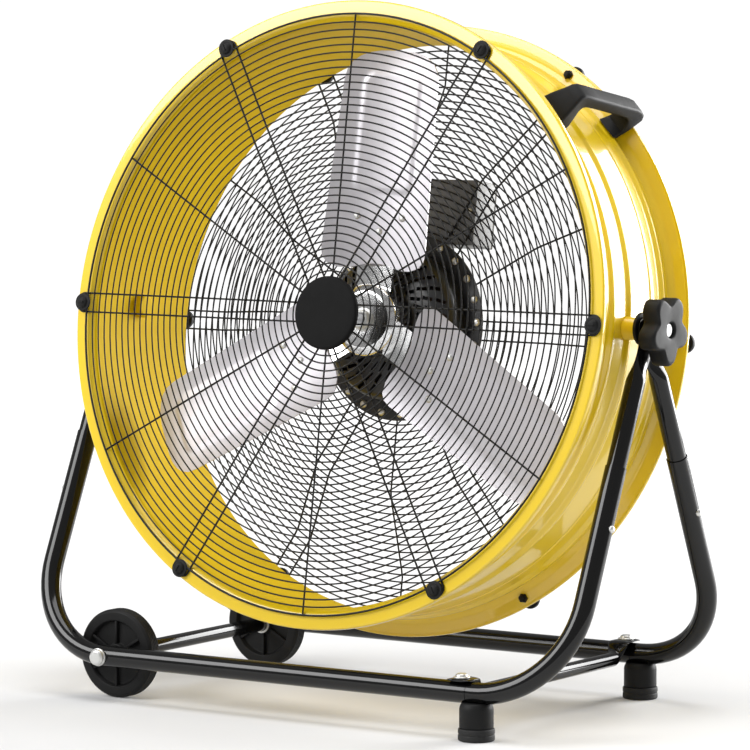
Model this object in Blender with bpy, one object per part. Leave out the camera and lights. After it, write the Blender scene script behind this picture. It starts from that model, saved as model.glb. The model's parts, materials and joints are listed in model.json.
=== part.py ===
"""Tilting drum fan on a tube stand with two feet and two wheels.

Metres, +Z up, the grille that blows faces -Y. The origin is on the floor under the tilt pivot.
Drum parts are modelled around their own axis, +Y to the rear, and hang from two empties.
"""

import math

import bmesh
import bpy
from mathutils import Matrix, Vector

# Driving dimensions -------------------------------------------------------------------------
GAP = 0.0003                    # clearance between neighbouring pieces
PIVOT_HEIGHT = 0.404            # tilt axis above the floor
REST_TILT = math.radians(9.09)  # the front of the drum looks up by this much
AXIS_DROP = 0.005               # drum axis below the tilt axis

RIM_RADIUS = 0.3262             # outside of the rolled edge
BOLT_CIRCLE = 0.317
WALL_RADIUS = 0.306             # outside of the drum wall
SHEET = 0.0015
BEAD_HEIGHT = 0.003
FRONT_FACE_Y = -0.082           # outer face of the front flange
REAR_FACE_Y = 0.0945            # outer face of the rear flange
GRILLE_RADIUS = 0.3117          # middle of the outermost wire ring
WIRE = 0.0035                   # thickness of the grille lattice
DISH_Y = 0.060                  # middle of the rear grille inside its dish
DISH_RADII = (0.178, 0.262)     # where the dish starts and ends to slope

LEG_X = 0.330                   # leg centres, either side
SPLAY = math.radians(24.4)      # each leg frame leans this much from upright
BOTTOM_RUN = 0.392              # distance from the pivot down the frame to the bottom tube
BEND_RADIUS = 0.100
SEAM_RUN = 0.148                # where the upper leg enters the lower tube
TUBE_RADIUS = 0.011
TUBE_WALL = 0.0015
UPPER_RADIUS = 0.010
STUB_RADIUS = 0.0092            # swaged end of the upper leg
BOTTOM_SEAM_X = 0.2225

FOOT_X = 0.230
FOOT_RADIUS = 0.01725
CAP_RADIUS = 0.0185
CAP_HEIGHT = 0.0125
WHEEL_X = -0.232
WHEEL_RADIUS = 0.047
WHEEL_WIDTH = 0.018
WHEEL_CENTRE_Y = 0.135
AXLE_RADIUS = 0.004
CROSS_BAR_X = 0.2125
CROSS_BAR_RADIUS = 0.0075

PIVOT_BOLT_RADIUS = 0.006
LUG_HALF = 0.002                # half thickness of a flattened leg end
KNOB_FACE_X = 0.358
KNOB_LOBES = 5
KNOB_RADIUS = 0.0312            # middle of the grip's wavy outline
KNOB_WAVE = 0.0058
KNOB_TURN = REST_TILT - math.pi / 2

BLADE_ANGLES = (88.9, 208.9, 328.9)
BLADE_TIP = 0.284
BLADE_PITCH = math.radians(-9.0)
BLADE_CAMBER = 0.007
BLADE_Y = -0.014
BLADE_SHEET = 0.0016

MOTOR_RADIUS = 0.080
MOTOR_FRONT_Y = 0.016
FLANGE_Y = 0.0550               # front face of the motor's mounting flange
MOTOR_REAR_Y = 0.098
SHAFT_RADIUS = 0.006

HANDLE_ANGLE = math.radians(44.4)

BOX_LOW = (-0.010, 0.0630, 0.0895)
BOX_HIGH = (0.074, 0.1010, 0.1585)
BOX_WALL = 0.002
BOX_COVER_Y = 0.1040
DIAL_X = 0.032
DIAL_Z = 0.126
SWITCH_HALF = 0.014

BOTTOM_Y = BOTTOM_RUN * math.sin(SPLAY)
BOTTOM_Z = PIVOT_HEIGHT - BOTTOM_RUN * math.cos(SPLAY)


# Materials ----------------------------------------------------------------------------------
def principled(name, colour, roughness, metallic=0.0):
    material = bpy.data.materials.new(name)
    material.use_nodes = True
    shader = material.node_tree.nodes["Principled BSDF"]
    shader.inputs["Base Color"].default_value = (*colour, 1.0)
    shader.inputs["Roughness"].default_value = roughness
    shader.inputs["Metallic"].default_value = metallic
    material.diffuse_color = (*colour, 1.0)
    return material


def make_materials():
    return {
        "yellow": principled("yellow_enamel", (0.80, 0.56, 0.05), 0.25),
        "frame": principled("black_tube_enamel", (0.012, 0.012, 0.013), 0.22),
        "wire": principled("black_wire_coat", (0.015, 0.015, 0.015), 0.45),
        "plastic": principled("black_plastic", (0.030, 0.030, 0.032), 0.50),
        "rubber": principled("black_rubber", (0.020, 0.020, 0.020), 0.75),
        "motor": principled("motor_paint", (0.040, 0.040, 0.042), 0.45),
        "box": principled("grey_box_paint", (0.130, 0.130, 0.130), 0.55),
        "blade": principled("blade_aluminium", (0.78, 0.76, 0.80), 0.35, 0.9),
        "bright": principled("zinc_plated_steel", (0.70, 0.70, 0.70), 0.25, 1.0),
        "steel": principled("machined_steel", (0.45, 0.45, 0.46), 0.35, 1.0),
        "copper": principled("stator_windings", (0.45, 0.20, 0.09), 0.45, 0.8),
    }


# Building blocks ----------------------------------------------------------------------------
def clear_scene():
    for old in list(bpy.data.objects):
        bpy.data.objects.remove(old, do_unlink=True)


def link(obj, parent=None, place=(0.0, 0.0, 0.0)):
    bpy.context.scene.collection.objects.link(obj)
    obj.parent = parent
    obj.location = place
    return obj


def empty(name, place=(0.0, 0.0, 0.0), parent=None, rotation=(0.0, 0.0, 0.0)):
    obj = link(bpy.data.objects.new(name, None), parent, place)
    obj.rotation_euler = rotation
    return obj


def solid(name, bm, material, parent=None, place=(0.0, 0.0, 0.0), smooth=40.0):
    """Close a bmesh into a named object whose faces point out."""
    bmesh.ops.remove_doubles(bm, verts=bm.verts, dist=1e-6)
    bmesh.ops.recalc_face_normals(bm, faces=bm.faces)
    mesh = bpy.data.meshes.new(name)
    bm.to_mesh(mesh)
    bm.free()
    mesh.shade_smooth()
    mesh.set_sharp_from_angle(angle=math.radians(smooth))
    mesh.materials.append(material)
    return link(bpy.data.objects.new(name, mesh), parent, place)


def helper(name, bm, parent=None, place=(0.0, 0.0, 0.0)):
    """A shape that only cuts or joins others."""
    bmesh.ops.recalc_face_normals(bm, faces=bm.faces)
    mesh = bpy.data.meshes.new(name)
    bm.to_mesh(mesh)
    bm.free()
    obj = link(bpy.data.objects.new(name, mesh), parent, place)
    obj.hide_render = True
    obj.display_type = "WIRE"
    return obj


def boolean(obj, tool, operation="DIFFERENCE"):
    modifier = obj.modifiers.new(tool.name, "BOOLEAN")
    modifier.operation = operation
    modifier.solver = "EXACT"
    modifier.object = tool


def turned(profile, steps, axis="Y", ring=False):
    """Spin (radius, along) points about an axis. A ring's profile closes on itself."""
    bm = bmesh.new()
    points = [bm.verts.new((radius, along, 0.0)) for radius, along in profile]
    ends = zip(points, points[1:] + points[:1]) if ring else zip(points, points[1:])
    edges = [bm.edges.new(pair) for pair in ends]
    bmesh.ops.spin(bm, geom=points + edges, cent=(0, 0, 0), axis=(0, 1, 0),
                   dvec=(0, 0, 0), angle=math.tau, steps=steps, use_merge=True)
    bmesh.ops.remove_doubles(bm, verts=bm.verts, dist=1e-6)
    turns = {"X": Matrix.Rotation(-math.pi / 2, 4, "Z"), "Z": Matrix.Rotation(math.pi / 2, 4, "X")}
    if axis in turns:
        bmesh.ops.transform(bm, matrix=turns[axis], verts=bm.verts)
    return bm


def rod(radius, start, end, steps, axis="Y"):
    return turned([(0, start), (radius, start), (radius, end), (0, end)], steps, axis)


def sleeve(inner, outer, start, end, steps, axis="Y"):
    return turned([(inner, start), (outer, start), (outer, end), (inner, end)], steps, axis, True)


def loft(rings, closed=False):
    """Join rings of points in order. Ends are capped unless the last ring meets the first."""
    bm = bmesh.new()
    loops = [[bm.verts.new(point) for point in ring] for ring in rings]
    pairs = zip(loops, loops[1:] + loops[:1]) if closed else zip(loops, loops[1:])
    for low, high in pairs:
        for a, b, c, d in zip(low, low[1:] + low[:1], high[1:] + high[:1], high):
            bm.faces.new((a, b, c, d))
    if not closed:
        bm.faces.new(loops[0])
        bm.faces.new(loops[-1])
    return bm


def oval(centre, across, up, half_across, half_up, sides):
    turns = [math.tau * step / sides for step in range(sides)]
    return [centre + half_across * math.cos(turn) * across + half_up * math.sin(turn) * up
            for turn in turns]


def block(low, high):
    bm = bmesh.new()
    size = [b - a for a, b in zip(low, high)]
    middle = [(a + b) / 2 for a, b in zip(low, high)]
    bmesh.ops.create_cube(bm, size=1.0)
    bmesh.ops.scale(bm, vec=size, verts=bm.verts)
    bmesh.ops.translate(bm, vec=middle, verts=bm.verts)
    return bm


def polar(radius, degrees, along=0.0):
    turn = math.radians(degrees)
    return Vector((radius * math.cos(turn), along, radius * math.sin(turn)))


# Stand --------------------------------------------------------------------------------------
def on_frame(face, x, run):
    """A point of a leaning leg frame: face -1 is the front frame and +1 the rear one."""
    return Vector((x, face * run * math.sin(SPLAY), PIVOT_HEIGHT - run * math.cos(SPLAY)))


def lower_path(side, end_x, steps=6):
    """(x, run, heading) along a lower tube: down the leg, round the bend, along the floor."""
    path = [(side * LEG_X, SEAM_RUN + GAP, -90.0)]
    centre_x = side * (LEG_X - BEND_RADIUS)
    centre_run = BOTTOM_RUN - BEND_RADIUS
    for step in range(steps + 1):
        turn = math.pi / 2 * step / steps
        x = centre_x + side * BEND_RADIUS * math.cos(turn)
        run = centre_run + BEND_RADIUS * math.sin(turn)
        path.append((x, run, -90.0 - side * math.degrees(turn)))
    path.append((end_x, BOTTOM_RUN, -90.0 - side * 90.0))
    return path


def lower_tube(name, face, side, end_x, material, sides=10):
    normal = Vector((0.0, math.cos(SPLAY), face * math.sin(SPLAY)))
    down = on_frame(face, 0.0, 1.0) - on_frame(face, 0.0, 0.0)
    rings = []
    for radius, order in ((TUBE_RADIUS, 1), (TUBE_RADIUS - TUBE_WALL, -1)):
        for x, run, heading in lower_path(side, end_x)[::order]:
            turn = math.radians(heading)
            ahead = Vector((math.cos(turn), 0.0, 0.0)) - down * math.sin(turn)
            centre = on_frame(face, x, run)
            rings.append(oval(centre, ahead.cross(normal), normal, radius, radius, sides))
    return solid(name, loft(rings, closed=True), material)


def upper_leg(name, face, side, material, sides=10):
    """Leg top: a tube whose lower end is swaged to enter the lower tube and whose top is a lug."""
    down = on_frame(face, 0.0, 1.0) - on_frame(face, 0.0, 0.0)
    outward = Vector((1.0, 0.0, 0.0))
    across = down.cross(outward)
    shift = -face * side * (LUG_HALF + GAP)
    lug_x = side * LEG_X + shift
    bore = UPPER_RADIUS - 0.002
    tail_run = 0.236
    half_width = 0.013
    rings = []
    for run, share in ((-0.0125, 0.35), (-0.0105, 0.62), (-0.006, 0.89), (0.0, 1.0), (0.032, 1.0)):
        centre = on_frame(face, lug_x, run)
        rings.append(oval(centre, outward, across, LUG_HALF, half_width * share, sides))
    walls = ((0.054, UPPER_RADIUS), (SEAM_RUN, UPPER_RADIUS), (SEAM_RUN, STUB_RADIUS),
             (tail_run, STUB_RADIUS), (tail_run, bore - 0.001), (0.066, bore - 0.001))
    for run, radius in walls:
        centre = on_frame(face, side * LEG_X, run)
        rings.append(oval(centre, outward, across, radius, radius, sides))
    leg = solid(name, loft(rings), material)
    hole = helper(name + "_hole", rod(PIVOT_BOLT_RADIUS + GAP, -0.01, 0.01, 12, "X"),
                  None, (lug_x, 0.0, PIVOT_HEIGHT))
    boolean(leg, hole)
    return leg


def make_leg_frames(materials):
    black = materials["frame"]
    bolt_bore = 0.0034
    for face, word in ((-1, "front"), (1, "rear")):
        y = face * BOTTOM_Y
        left = lower_tube(f"lower_tube_{word}_left", face, -1, BOTTOM_SEAM_X - GAP / 2, black)
        right = lower_tube(f"lower_tube_{word}_right", face, 1, BOTTOM_SEAM_X + GAP / 2, black)
        upper_leg(f"upper_leg_{word}_left", face, -1, black)
        upper_leg(f"upper_leg_{word}_right", face, 1, black)
        axle_hole = helper(f"axle_hole_{word}", rod(AXLE_RADIUS + GAP, -0.02, 0.02, 10),
                           None, (WHEEL_X, y, BOTTOM_Z))
        boolean(left, axle_hole)
        bolt_hole = helper(f"bolt_hole_{word}", rod(bolt_bore, 0.0, 0.02, 10, "Z"),
                           None, (CROSS_BAR_X, y, BOTTOM_Z))
        boolean(left, bolt_hole)
        stud_hole = helper(f"stud_hole_{word}", rod(0.0044, -0.02, 0.0, 10, "Z"),
                           None, (FOOT_X, y, BOTTOM_Z))
        boolean(right, stud_hole)


def make_cross_bar(materials, sides=12):
    """Round bar between the frames, its ends pressed flat over the tops of the bottom tubes."""
    across = Vector((1.0, 0.0, 0.0))
    up = Vector((0.0, 0.0, 1.0))
    bar_z = 0.043
    plate_z = BOTTOM_Z + TUBE_RADIUS + GAP + 0.0015
    half_plate = 0.0155
    stations = ((0.134, bar_z, CROSS_BAR_RADIUS, CROSS_BAR_RADIUS),
                (0.142, (bar_z + plate_z) / 2, 0.011, 0.0045),
                (0.149, plate_z, half_plate, 0.0015),
                (0.168, plate_z, half_plate, 0.0015),
                (0.171, plate_z, half_plate * 0.8, 0.0015))
    ordered = [(-y, z, wide, high) for y, z, wide, high in stations[::-1]] + list(stations)
    rings = [oval(Vector((CROSS_BAR_X, y, z)), across, up, wide, high, sides)
             for y, z, wide, high in ordered]
    bar = solid("cross_bar", loft(rings), materials["frame"])
    for face, word in ((-1, "front"), (1, "rear")):
        hole = helper(f"saddle_hole_{word}", rod(0.0034, 0.0, 0.03, 10, "Z"),
                      None, (CROSS_BAR_X, face * BOTTOM_Y, BOTTOM_Z))
        boolean(bar, hole)


def make_saddle_bolts(materials):
    top = BOTTOM_Z + TUBE_RADIUS + 0.003 + 2 * GAP
    profile = [(0.0, top + 0.0055), (0.0050, top + 0.0055), (0.0058, top + 0.0040),
               (0.0058, top + 0.0015), (0.0082, top + 0.0012), (0.0082, top),
               (0.0030, top), (0.0030, BOTTOM_Z - 0.005), (0.0, BOTTOM_Z - 0.005)]
    for face, word in ((-1, "front"), (1, "rear")):
        solid(f"saddle_bolt_{word}", turned(profile, 12, "Z"), materials["bright"],
              None, (CROSS_BAR_X, face * BOTTOM_Y, 0.0))


def make_feet(materials):
    top = BOTTOM_Z - TUBE_RADIUS - GAP
    stud_top = BOTTOM_Z - 0.003
    body = [(0.0, stud_top), (0.004, stud_top), (0.004, top), (FOOT_RADIUS - 0.001, top),
            (FOOT_RADIUS, top - 0.001), (FOOT_RADIUS, CAP_HEIGHT + GAP), (0.0, CAP_HEIGHT + GAP)]
    cap = [(0.0, CAP_HEIGHT), (CAP_RADIUS - 0.001, CAP_HEIGHT), (CAP_RADIUS, CAP_HEIGHT - 0.001),
           (CAP_RADIUS, 0.0012), (CAP_RADIUS - 0.001, 0.0), (0.0, 0.0)]
    for face, word in ((-1, "front"), (1, "rear")):
        place = (FOOT_X, face * BOTTOM_Y, 0.0)
        solid(f"foot_{word}", turned(body, 20, "Z"), materials["plastic"], None, place)
        solid(f"foot_cap_{word}", turned(cap, 20, "Z"), materials["rubber"], None, place)


def make_axle(materials):
    place = (WHEEL_X, 0.0, BOTTOM_Z)
    head_near = BOTTOM_Y + TUBE_RADIUS + GAP
    head_far = 0.1800
    head = [(0.0, -head_far), (0.0062, -head_far), (0.0072, -head_far + 0.001),
            (0.0072, -head_near - 0.0015), (0.0090, -head_near - 0.0012), (0.0090, -head_near),
            (AXLE_RADIUS, -head_near), (AXLE_RADIUS, head_far - 0.0010), (0.0, head_far - 0.0010)]
    solid("wheel_axle", turned(head, 12), materials["bright"], None, place)
    nut = [(AXLE_RADIUS + GAP, head_near), (0.0090, head_near), (0.0090, head_near + 0.0012),
           (0.0072, head_near + 0.0015), (0.0072, head_far - 0.001), (0.0062, head_far),
           (AXLE_RADIUS + GAP, head_far)]
    solid("axle_nut", turned(nut, 12, ring=True), materials["bright"], None, place)
    reach = WHEEL_CENTRE_Y - WHEEL_WIDTH / 2 - 0.0006
    solid("axle_spacer", sleeve(AXLE_RADIUS + GAP, 0.0077, -reach, reach, 14),
          materials["frame"], None, place)


def make_wheels(materials):
    """Hard tread round a recessed web and a central boss."""
    half = WHEEL_WIDTH / 2
    bore = AXLE_RADIUS + 0.0004
    profile = [(bore, -half), (0.0105, -half), (0.0115, -half + 0.004), (0.0335, -half + 0.004),
               (0.0355, -half), (WHEEL_RADIUS - 0.0015, -half), (WHEEL_RADIUS, -half + 0.0015),
               (WHEEL_RADIUS, half - 0.0015), (WHEEL_RADIUS - 0.0015, half), (0.0355, half),
               (0.0335, half - 0.004), (0.0115, half - 0.004), (0.0105, half), (bore, half)]
    for face, word in ((-1, "front"), (1, "rear")):
        solid(f"wheel_{word}", turned(profile, 20, ring=True), materials["plastic"],
              None, (WHEEL_X, face * WHEEL_CENTRE_Y, BOTTOM_Z))


# Tilt pivot ---------------------------------------------------------------------------------
def make_pivots(materials, tilt):
    lug_inner = LEG_X - 2 * LUG_HALF - GAP
    disc_start = lug_inner - GAP - 0.0045
    boss_start = WALL_RADIUS + BEAD_HEIGHT + GAP
    bore = PIVOT_BOLT_RADIUS + GAP
    for side, word in ((-1, "left"), (1, "right")):
        boss = turned([(bore, boss_start), (0.016, boss_start), (0.015, boss_start + 0.004),
                       (0.0138, disc_start - GAP), (bore, disc_start - GAP)], 16, "X", True)
        disc = sleeve(bore, 0.0165, disc_start, lug_inner - GAP, 20, "X")
        inside = WALL_RADIUS - 0.011
        bolt = turned([(0.0, inside), (0.0105, inside), (0.0125, inside + 0.002),
                       (0.0125, inside + 0.003), (PIVOT_BOLT_RADIUS, inside + 0.003),
                       (PIVOT_BOLT_RADIUS, 0.3530), (0.0050, 0.3540), (0.0, 0.3540)], 14, "X")
        for bm in (boss, disc, bolt):
            if side < 0:
                bmesh.ops.rotate(bm, matrix=Matrix.Rotation(math.pi, 3, "Z"), verts=bm.verts)
        solid(f"pivot_boss_{word}", boss, materials["yellow"], tilt)
        solid(f"pivot_disc_{word}", disc, materials["plastic"], tilt)
        solid(f"pivot_bolt_{word}", bolt, materials["bright"], tilt)


def star(x, share, points=20):
    """Outline of the lobed grip: one lobe points straight down while the drum is at rest."""
    ring = []
    for step in range(points):
        around = math.tau * step / points
        turn = around + KNOB_TURN
        radius = share * (KNOB_RADIUS + KNOB_WAVE * math.cos(KNOB_LOBES * around))
        ring.append(Vector((x, radius * math.cos(turn), radius * math.sin(turn))))
    return ring


def round_ring(x, radius, points=20):
    turns = [math.tau * step / points + KNOB_TURN for step in range(points)]
    return [Vector((x, radius * math.cos(turn), radius * math.sin(turn))) for turn in turns]


def make_knobs(materials, tilt):
    start = LEG_X + 2 * LUG_HALF + 2 * GAP
    bore = PIVOT_BOLT_RADIUS + GAP
    for side, word in ((-1, "left"), (1, "right")):
        rings = [round_ring(start, 0.0140), round_ring(start + 0.0035, 0.0140),
                 star(start + 0.0035, 0.92), star(start + 0.0060, 1.0),
                 star(KNOB_FACE_X - 0.0025, 1.0), star(KNOB_FACE_X, 0.93),
                 round_ring(KNOB_FACE_X, 0.0078), round_ring(KNOB_FACE_X - 0.006, 0.0078),
                 round_ring(KNOB_FACE_X - 0.006, bore), round_ring(start, bore)]
        bm = loft(rings, closed=True)
        if side < 0:
            bmesh.ops.scale(bm, vec=(-1.0, 1.0, 1.0), verts=bm.verts)
        solid(f"tilt_knob_{word}", bm, materials["plastic"], tilt, smooth=50.0)


# Drum ---------------------------------------------------------------------------------------
def bead(middle, half_top=0.0035):
    """Three-sided rib pressed outwards from the drum wall."""
    foot = half_top + BEAD_HEIGHT
    top = WALL_RADIUS + BEAD_HEIGHT
    return [(WALL_RADIUS, middle - foot), (top, middle - half_top),
            (top, middle + half_top), (WALL_RADIUS, middle + foot)]


def make_drum_shell(materials, drum):
    inner = WALL_RADIUS - SHEET
    lip = RIM_RADIUS - SHEET
    front = FRONT_FACE_Y
    rear = REAR_FACE_Y
    outside = [(lip, front + 0.0070), (lip, front + SHEET), (WALL_RADIUS + 0.004, front + SHEET),
               (WALL_RADIUS, front + 0.006)]
    for middle in (-0.0305, 0.0030, 0.0715):
        outside += bead(middle)
    outside += [(WALL_RADIUS, rear - 0.010), (lip - 0.001, rear - 0.0035), (RIM_RADIUS, rear - 0.0045),
                (RIM_RADIUS, rear - 0.0012), (lip, rear)]
    inside = [(WALL_RADIUS + 0.005, rear), (inner, rear - 0.006), (inner, front + 0.006),
              (WALL_RADIUS + 0.004, front), (lip, front), (RIM_RADIUS, front + 0.0012),
              (RIM_RADIUS, front + 0.0070)]
    shell = solid("drum_shell", turned(outside + inside, 32, ring=True), materials["yellow"], drum)
    drills = bmesh.new()
    for number in range(6):
        hole = rod(0.0034, -0.10, 0.11, 8)
        bmesh.ops.translate(hole, vec=polar(BOLT_CIRCLE, 60.0 * number), verts=hole.verts)
        join(drills, hole)
    boolean(shell, helper("flange_drills", drills, drum))
    pivot_drill = rod(PIVOT_BOLT_RADIUS + GAP, -0.33, 0.33, 12, "X")
    boolean(shell, helper("pivot_drill", pivot_drill, drum, (0.0, 0.0, AXIS_DROP)))


def join(target, other):
    """Copy a bmesh into another one and free it."""
    carrier = bpy.data.meshes.new("carrier")
    other.to_mesh(carrier)
    other.free()
    target.from_mesh(carrier)
    bpy.data.meshes.remove(carrier)


def lattice(bands, height, thickness, spoke_half=0.0012, spokes=12):
    """Rings joined by radial bars. Bands are (inner, outer) radii and height(radius) is along Y."""
    bm = bmesh.new()
    radii = [radius for band in bands for radius in band]
    layers = []
    for offset in (-thickness / 2, thickness / 2):
        layer = []
        for radius in radii:
            half = math.degrees(math.asin(spoke_half / radius))
            pitch = 360.0 / spokes
            ring = []
            for spoke in range(spokes):
                for turn in (spoke * pitch - half, spoke * pitch + half, (spoke + 0.5) * pitch):
                    ring.append(bm.verts.new(polar(radius, turn, height(radius) + offset)))
            layer.append(ring)
        layers.append(layer)
    around = spokes * 3
    for row in range(len(radii) - 1):
        gap_row = row % 2 == 1
        for column in range(around):
            if gap_row and column % 3:
                continue
            beside = (column + 1) % around
            for layer in layers:
                low, high = layer[row], layer[row + 1]
                bm.faces.new((low[column], low[beside], high[beside], high[column]))
            if gap_row:
                for edge in (column, beside):
                    wall(bm, layers, (row, edge), (row + 1, edge))
    for row in range(len(radii)):
        rim = row in (0, len(radii) - 1)
        for column in range(around):
            if rim or column % 3:
                wall(bm, layers, (row, column), (row, (column + 1) % around))
    return bm


def wall(bm, layers, first, second):
    """Side face between the two layers of a lattice."""
    near, far = layers
    bm.faces.new((near[first[0]][first[1]], near[second[0]][second[1]],
                  far[second[0]][second[1]], far[first[0]][first[1]]))


def dish(radius):
    """Middle height of the rear grille: flat edge, slope inwards, flat centre."""
    edge = REAR_FACE_Y + GAP + WIRE / 2
    start, end = DISH_RADII
    share = min(max((radius - start) / (end - start), 0.0), 1.0)
    return DISH_Y + share * (edge - DISH_Y)


def make_grilles(materials, drum):
    half = 0.0012
    edge = (GRILLE_RADIUS - 0.0019, GRILLE_RADIUS + 0.0019)
    front_y = FRONT_FACE_Y - GAP - WIRE / 2
    rings = [(radius - half, radius + half) for radius in (0.105, 0.175, 0.245)]
    front = lattice([(0.026, 0.0405)] + rings + [edge], lambda radius: front_y, WIRE)
    solid("front_grille", front, materials["wire"], drum)
    rings = [(radius - half, radius + half) for radius in (0.139, 0.178, 0.220, 0.262)]
    rear = lattice([(0.084, 0.100)] + rings + [edge], dish, WIRE)
    solid("rear_grille", rear, materials["wire"], drum)
    badge_back = FRONT_FACE_Y - 2 * GAP - WIRE
    badge = turned([(0.0, badge_back - 0.006), (0.0365, badge_back - 0.006),
                    (0.038, badge_back - 0.0045), (0.038, badge_back), (0.0, badge_back)], 32)
    solid("grille_badge", badge, materials["plastic"], drum)


def make_grille_bolts(materials, drum):
    face = FRONT_FACE_Y - 2 * GAP - WIRE
    profile = [(0.0, face - 0.0042), (0.0036, face - 0.0040), (0.0052, face - 0.0026),
               (0.0090, face - 0.0020), (0.0090, face), (0.0030, face),
               (0.0030, FRONT_FACE_Y + 0.008), (0.0, FRONT_FACE_Y + 0.008)]
    for number in range(6):
        bolt = turned(profile, 8)
        bmesh.ops.translate(bolt, vec=polar(BOLT_CIRCLE, 60.0 * number), verts=bolt.verts)
        solid(f"grille_bolt_{number + 1}", bolt, materials["plastic"], drum)


def make_handle(materials, drum):
    """Bail of rectangular section on the upper right of the drum, along its axis."""
    outward = Vector((math.cos(HANDLE_ANGLE), 0.0, math.sin(HANDLE_ANGLE)))
    sideways = Vector((math.sin(HANDLE_ANGLE), 0.0, -math.cos(HANDLE_ANGLE)))
    # (inner point, outer point, half width), each point as (y, radius)
    sections = [((-0.0290, 0.3096), (-0.0500, 0.3096), 0.0190),
                ((-0.0270, 0.3190), (-0.0455, 0.3230), 0.0165),
                ((-0.0230, 0.3270), (-0.0390, 0.3380), 0.0125),
                ((-0.0140, 0.3330), (-0.0330, 0.3470), 0.0103),
                ((0.0000, 0.3335), (0.0000, 0.3470), 0.0103),
                ((0.0640, 0.3335), (0.0750, 0.3470), 0.0103),
                ((0.0730, 0.3300), (0.0900, 0.3450), 0.0108),
                ((0.0765, 0.3240), (0.0950, 0.3390), 0.0115),
                ((0.0770, 0.3170), (0.0865, 0.3240), 0.0125),
                ((0.0668, 0.3110), (0.0768, 0.3110), 0.0132)]
    rings = []
    for low, high, half in sections:
        corners = ((low, -half), (low, half), (high, half), (high, -half))
        rings.append([outward * radius + sideways * shift + Vector((0.0, y, 0.0))
                      for (y, radius), shift in corners])
    solid("carry_handle", loft(rings), materials["plastic"], drum, smooth=50.0)


# Motor and controls -------------------------------------------------------------------------
def make_motor(materials, drum):
    paint = materials["motor"]
    steel = materials["steel"]
    skin = 0.003
    seat = 0.0165
    shaft_hole = SHAFT_RADIUS + 0.0005
    front_end = FLANGE_Y - GAP
    front = [(shaft_hole, MOTOR_FRONT_Y), (0.024, MOTOR_FRONT_Y), (0.062, MOTOR_FRONT_Y + 0.004),
             (MOTOR_RADIUS - 0.004, MOTOR_FRONT_Y + 0.010), (MOTOR_RADIUS, MOTOR_FRONT_Y + 0.018),
             (MOTOR_RADIUS, front_end), (MOTOR_RADIUS - skin, front_end),
             (MOTOR_RADIUS - skin, MOTOR_FRONT_Y + 0.019),
             (0.060, MOTOR_FRONT_Y + 0.008), (0.021, MOTOR_FRONT_Y + 0.006),
             (0.021, MOTOR_FRONT_Y + 0.013), (seat, MOTOR_FRONT_Y + 0.013),
             (seat, MOTOR_FRONT_Y + 0.003), (shaft_hole, MOTOR_FRONT_Y + 0.003)]
    solid("motor_front_bell", turned(front, 20, ring=True), paint, drum)
    rear_radius = 0.078
    rear = [(seat, FLANGE_Y + 0.028), (0.021, FLANGE_Y + 0.028), (0.021, MOTOR_REAR_Y - 0.006),
            (0.058, MOTOR_REAR_Y - 0.008), (rear_radius - skin, MOTOR_REAR_Y - 0.018),
            (rear_radius - skin, FLANGE_Y), (0.100, FLANGE_Y), (0.100, FLANGE_Y + 0.003),
            (rear_radius, FLANGE_Y + 0.003), (rear_radius, MOTOR_REAR_Y - 0.016),
            (0.060, MOTOR_REAR_Y - 0.004), (0.024, MOTOR_REAR_Y), (0.0, MOTOR_REAR_Y),
            (0.0, MOTOR_REAR_Y - 0.003), (seat, MOTOR_REAR_Y - 0.003)]
    solid("motor_rear_bell", turned(rear, 20, ring=True), paint, drum)
    bore = 0.050
    solid("stator", sleeve(bore, rear_radius - skin - GAP, 0.037, 0.078, 20),
          materials["copper"], drum)
    for word, start in (("front", MOTOR_FRONT_Y + 0.0035), ("rear", FLANGE_Y + 0.0290)):
        ring = sleeve(SHAFT_RADIUS + 0.0002, seat - 0.0002, start, start + 0.009, 16)
        solid(f"bearing_{word}", ring, steel, drum)


def make_controls(materials, drum):
    """Switch box behind the upper part of the rear grille, its dial and cord gland to the rear."""
    box = solid("control_box", block(BOX_LOW, BOX_HIGH), materials["box"], drum)
    cavity_low = tuple(value + BOX_WALL for value in BOX_LOW)
    cavity_high = (BOX_HIGH[0] - BOX_WALL, BOX_COVER_Y, BOX_HIGH[2] - BOX_WALL)
    boolean(box, helper("box_cavity", block(cavity_low, cavity_high), drum))
    cover_low = (BOX_LOW[0], BOX_HIGH[1] + GAP, BOX_LOW[2])
    cover_high = (BOX_HIGH[0], BOX_COVER_Y, BOX_HIGH[2])
    cover = solid("control_cover", block(cover_low, cover_high), materials["box"], drum)
    dial_hole = helper("dial_hole", rod(0.0045, 0.09, 0.12, 12), drum, (DIAL_X, 0.0, DIAL_Z))
    boolean(cover, dial_hole)
    switch = block((DIAL_X - SWITCH_HALF, 0.082, DIAL_Z - SWITCH_HALF),
                   (DIAL_X + SWITCH_HALF, BOX_HIGH[1], DIAL_Z + SWITCH_HALF))
    solid("speed_switch", switch, materials["plastic"], drum)
    dial = turned([(0.0, 0.1016), (0.0038, 0.1016), (0.0038, 0.1046), (0.0150, 0.1046),
                   (0.0150, 0.1080), (0.0105, 0.1100), (0.0095, 0.1210), (0.0, 0.1215)], 20)
    solid("speed_dial", dial, materials["plastic"], drum, (DIAL_X, 0.0, DIAL_Z))
    solid("run_capacitor", rod(0.013, 0.0, 0.040, 16, "Z"), materials["bright"],
          drum, (0.0055, 0.0795, 0.104))
    solid("conduit_neck", block((-0.006, 0.068, 0.0786), (0.030, 0.092, BOX_LOW[2] - GAP)),
          materials["motor"], drum)
    gland = turned([(0.0, 0.0), (0.0085, 0.0), (0.0085, 0.006), (0.0060, 0.009),
                    (0.0050, 0.022), (0.0, 0.022)], 12)
    solid("cord_gland", gland, materials["plastic"], drum, (0.062, BOX_COVER_Y + GAP, 0.102))


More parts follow.
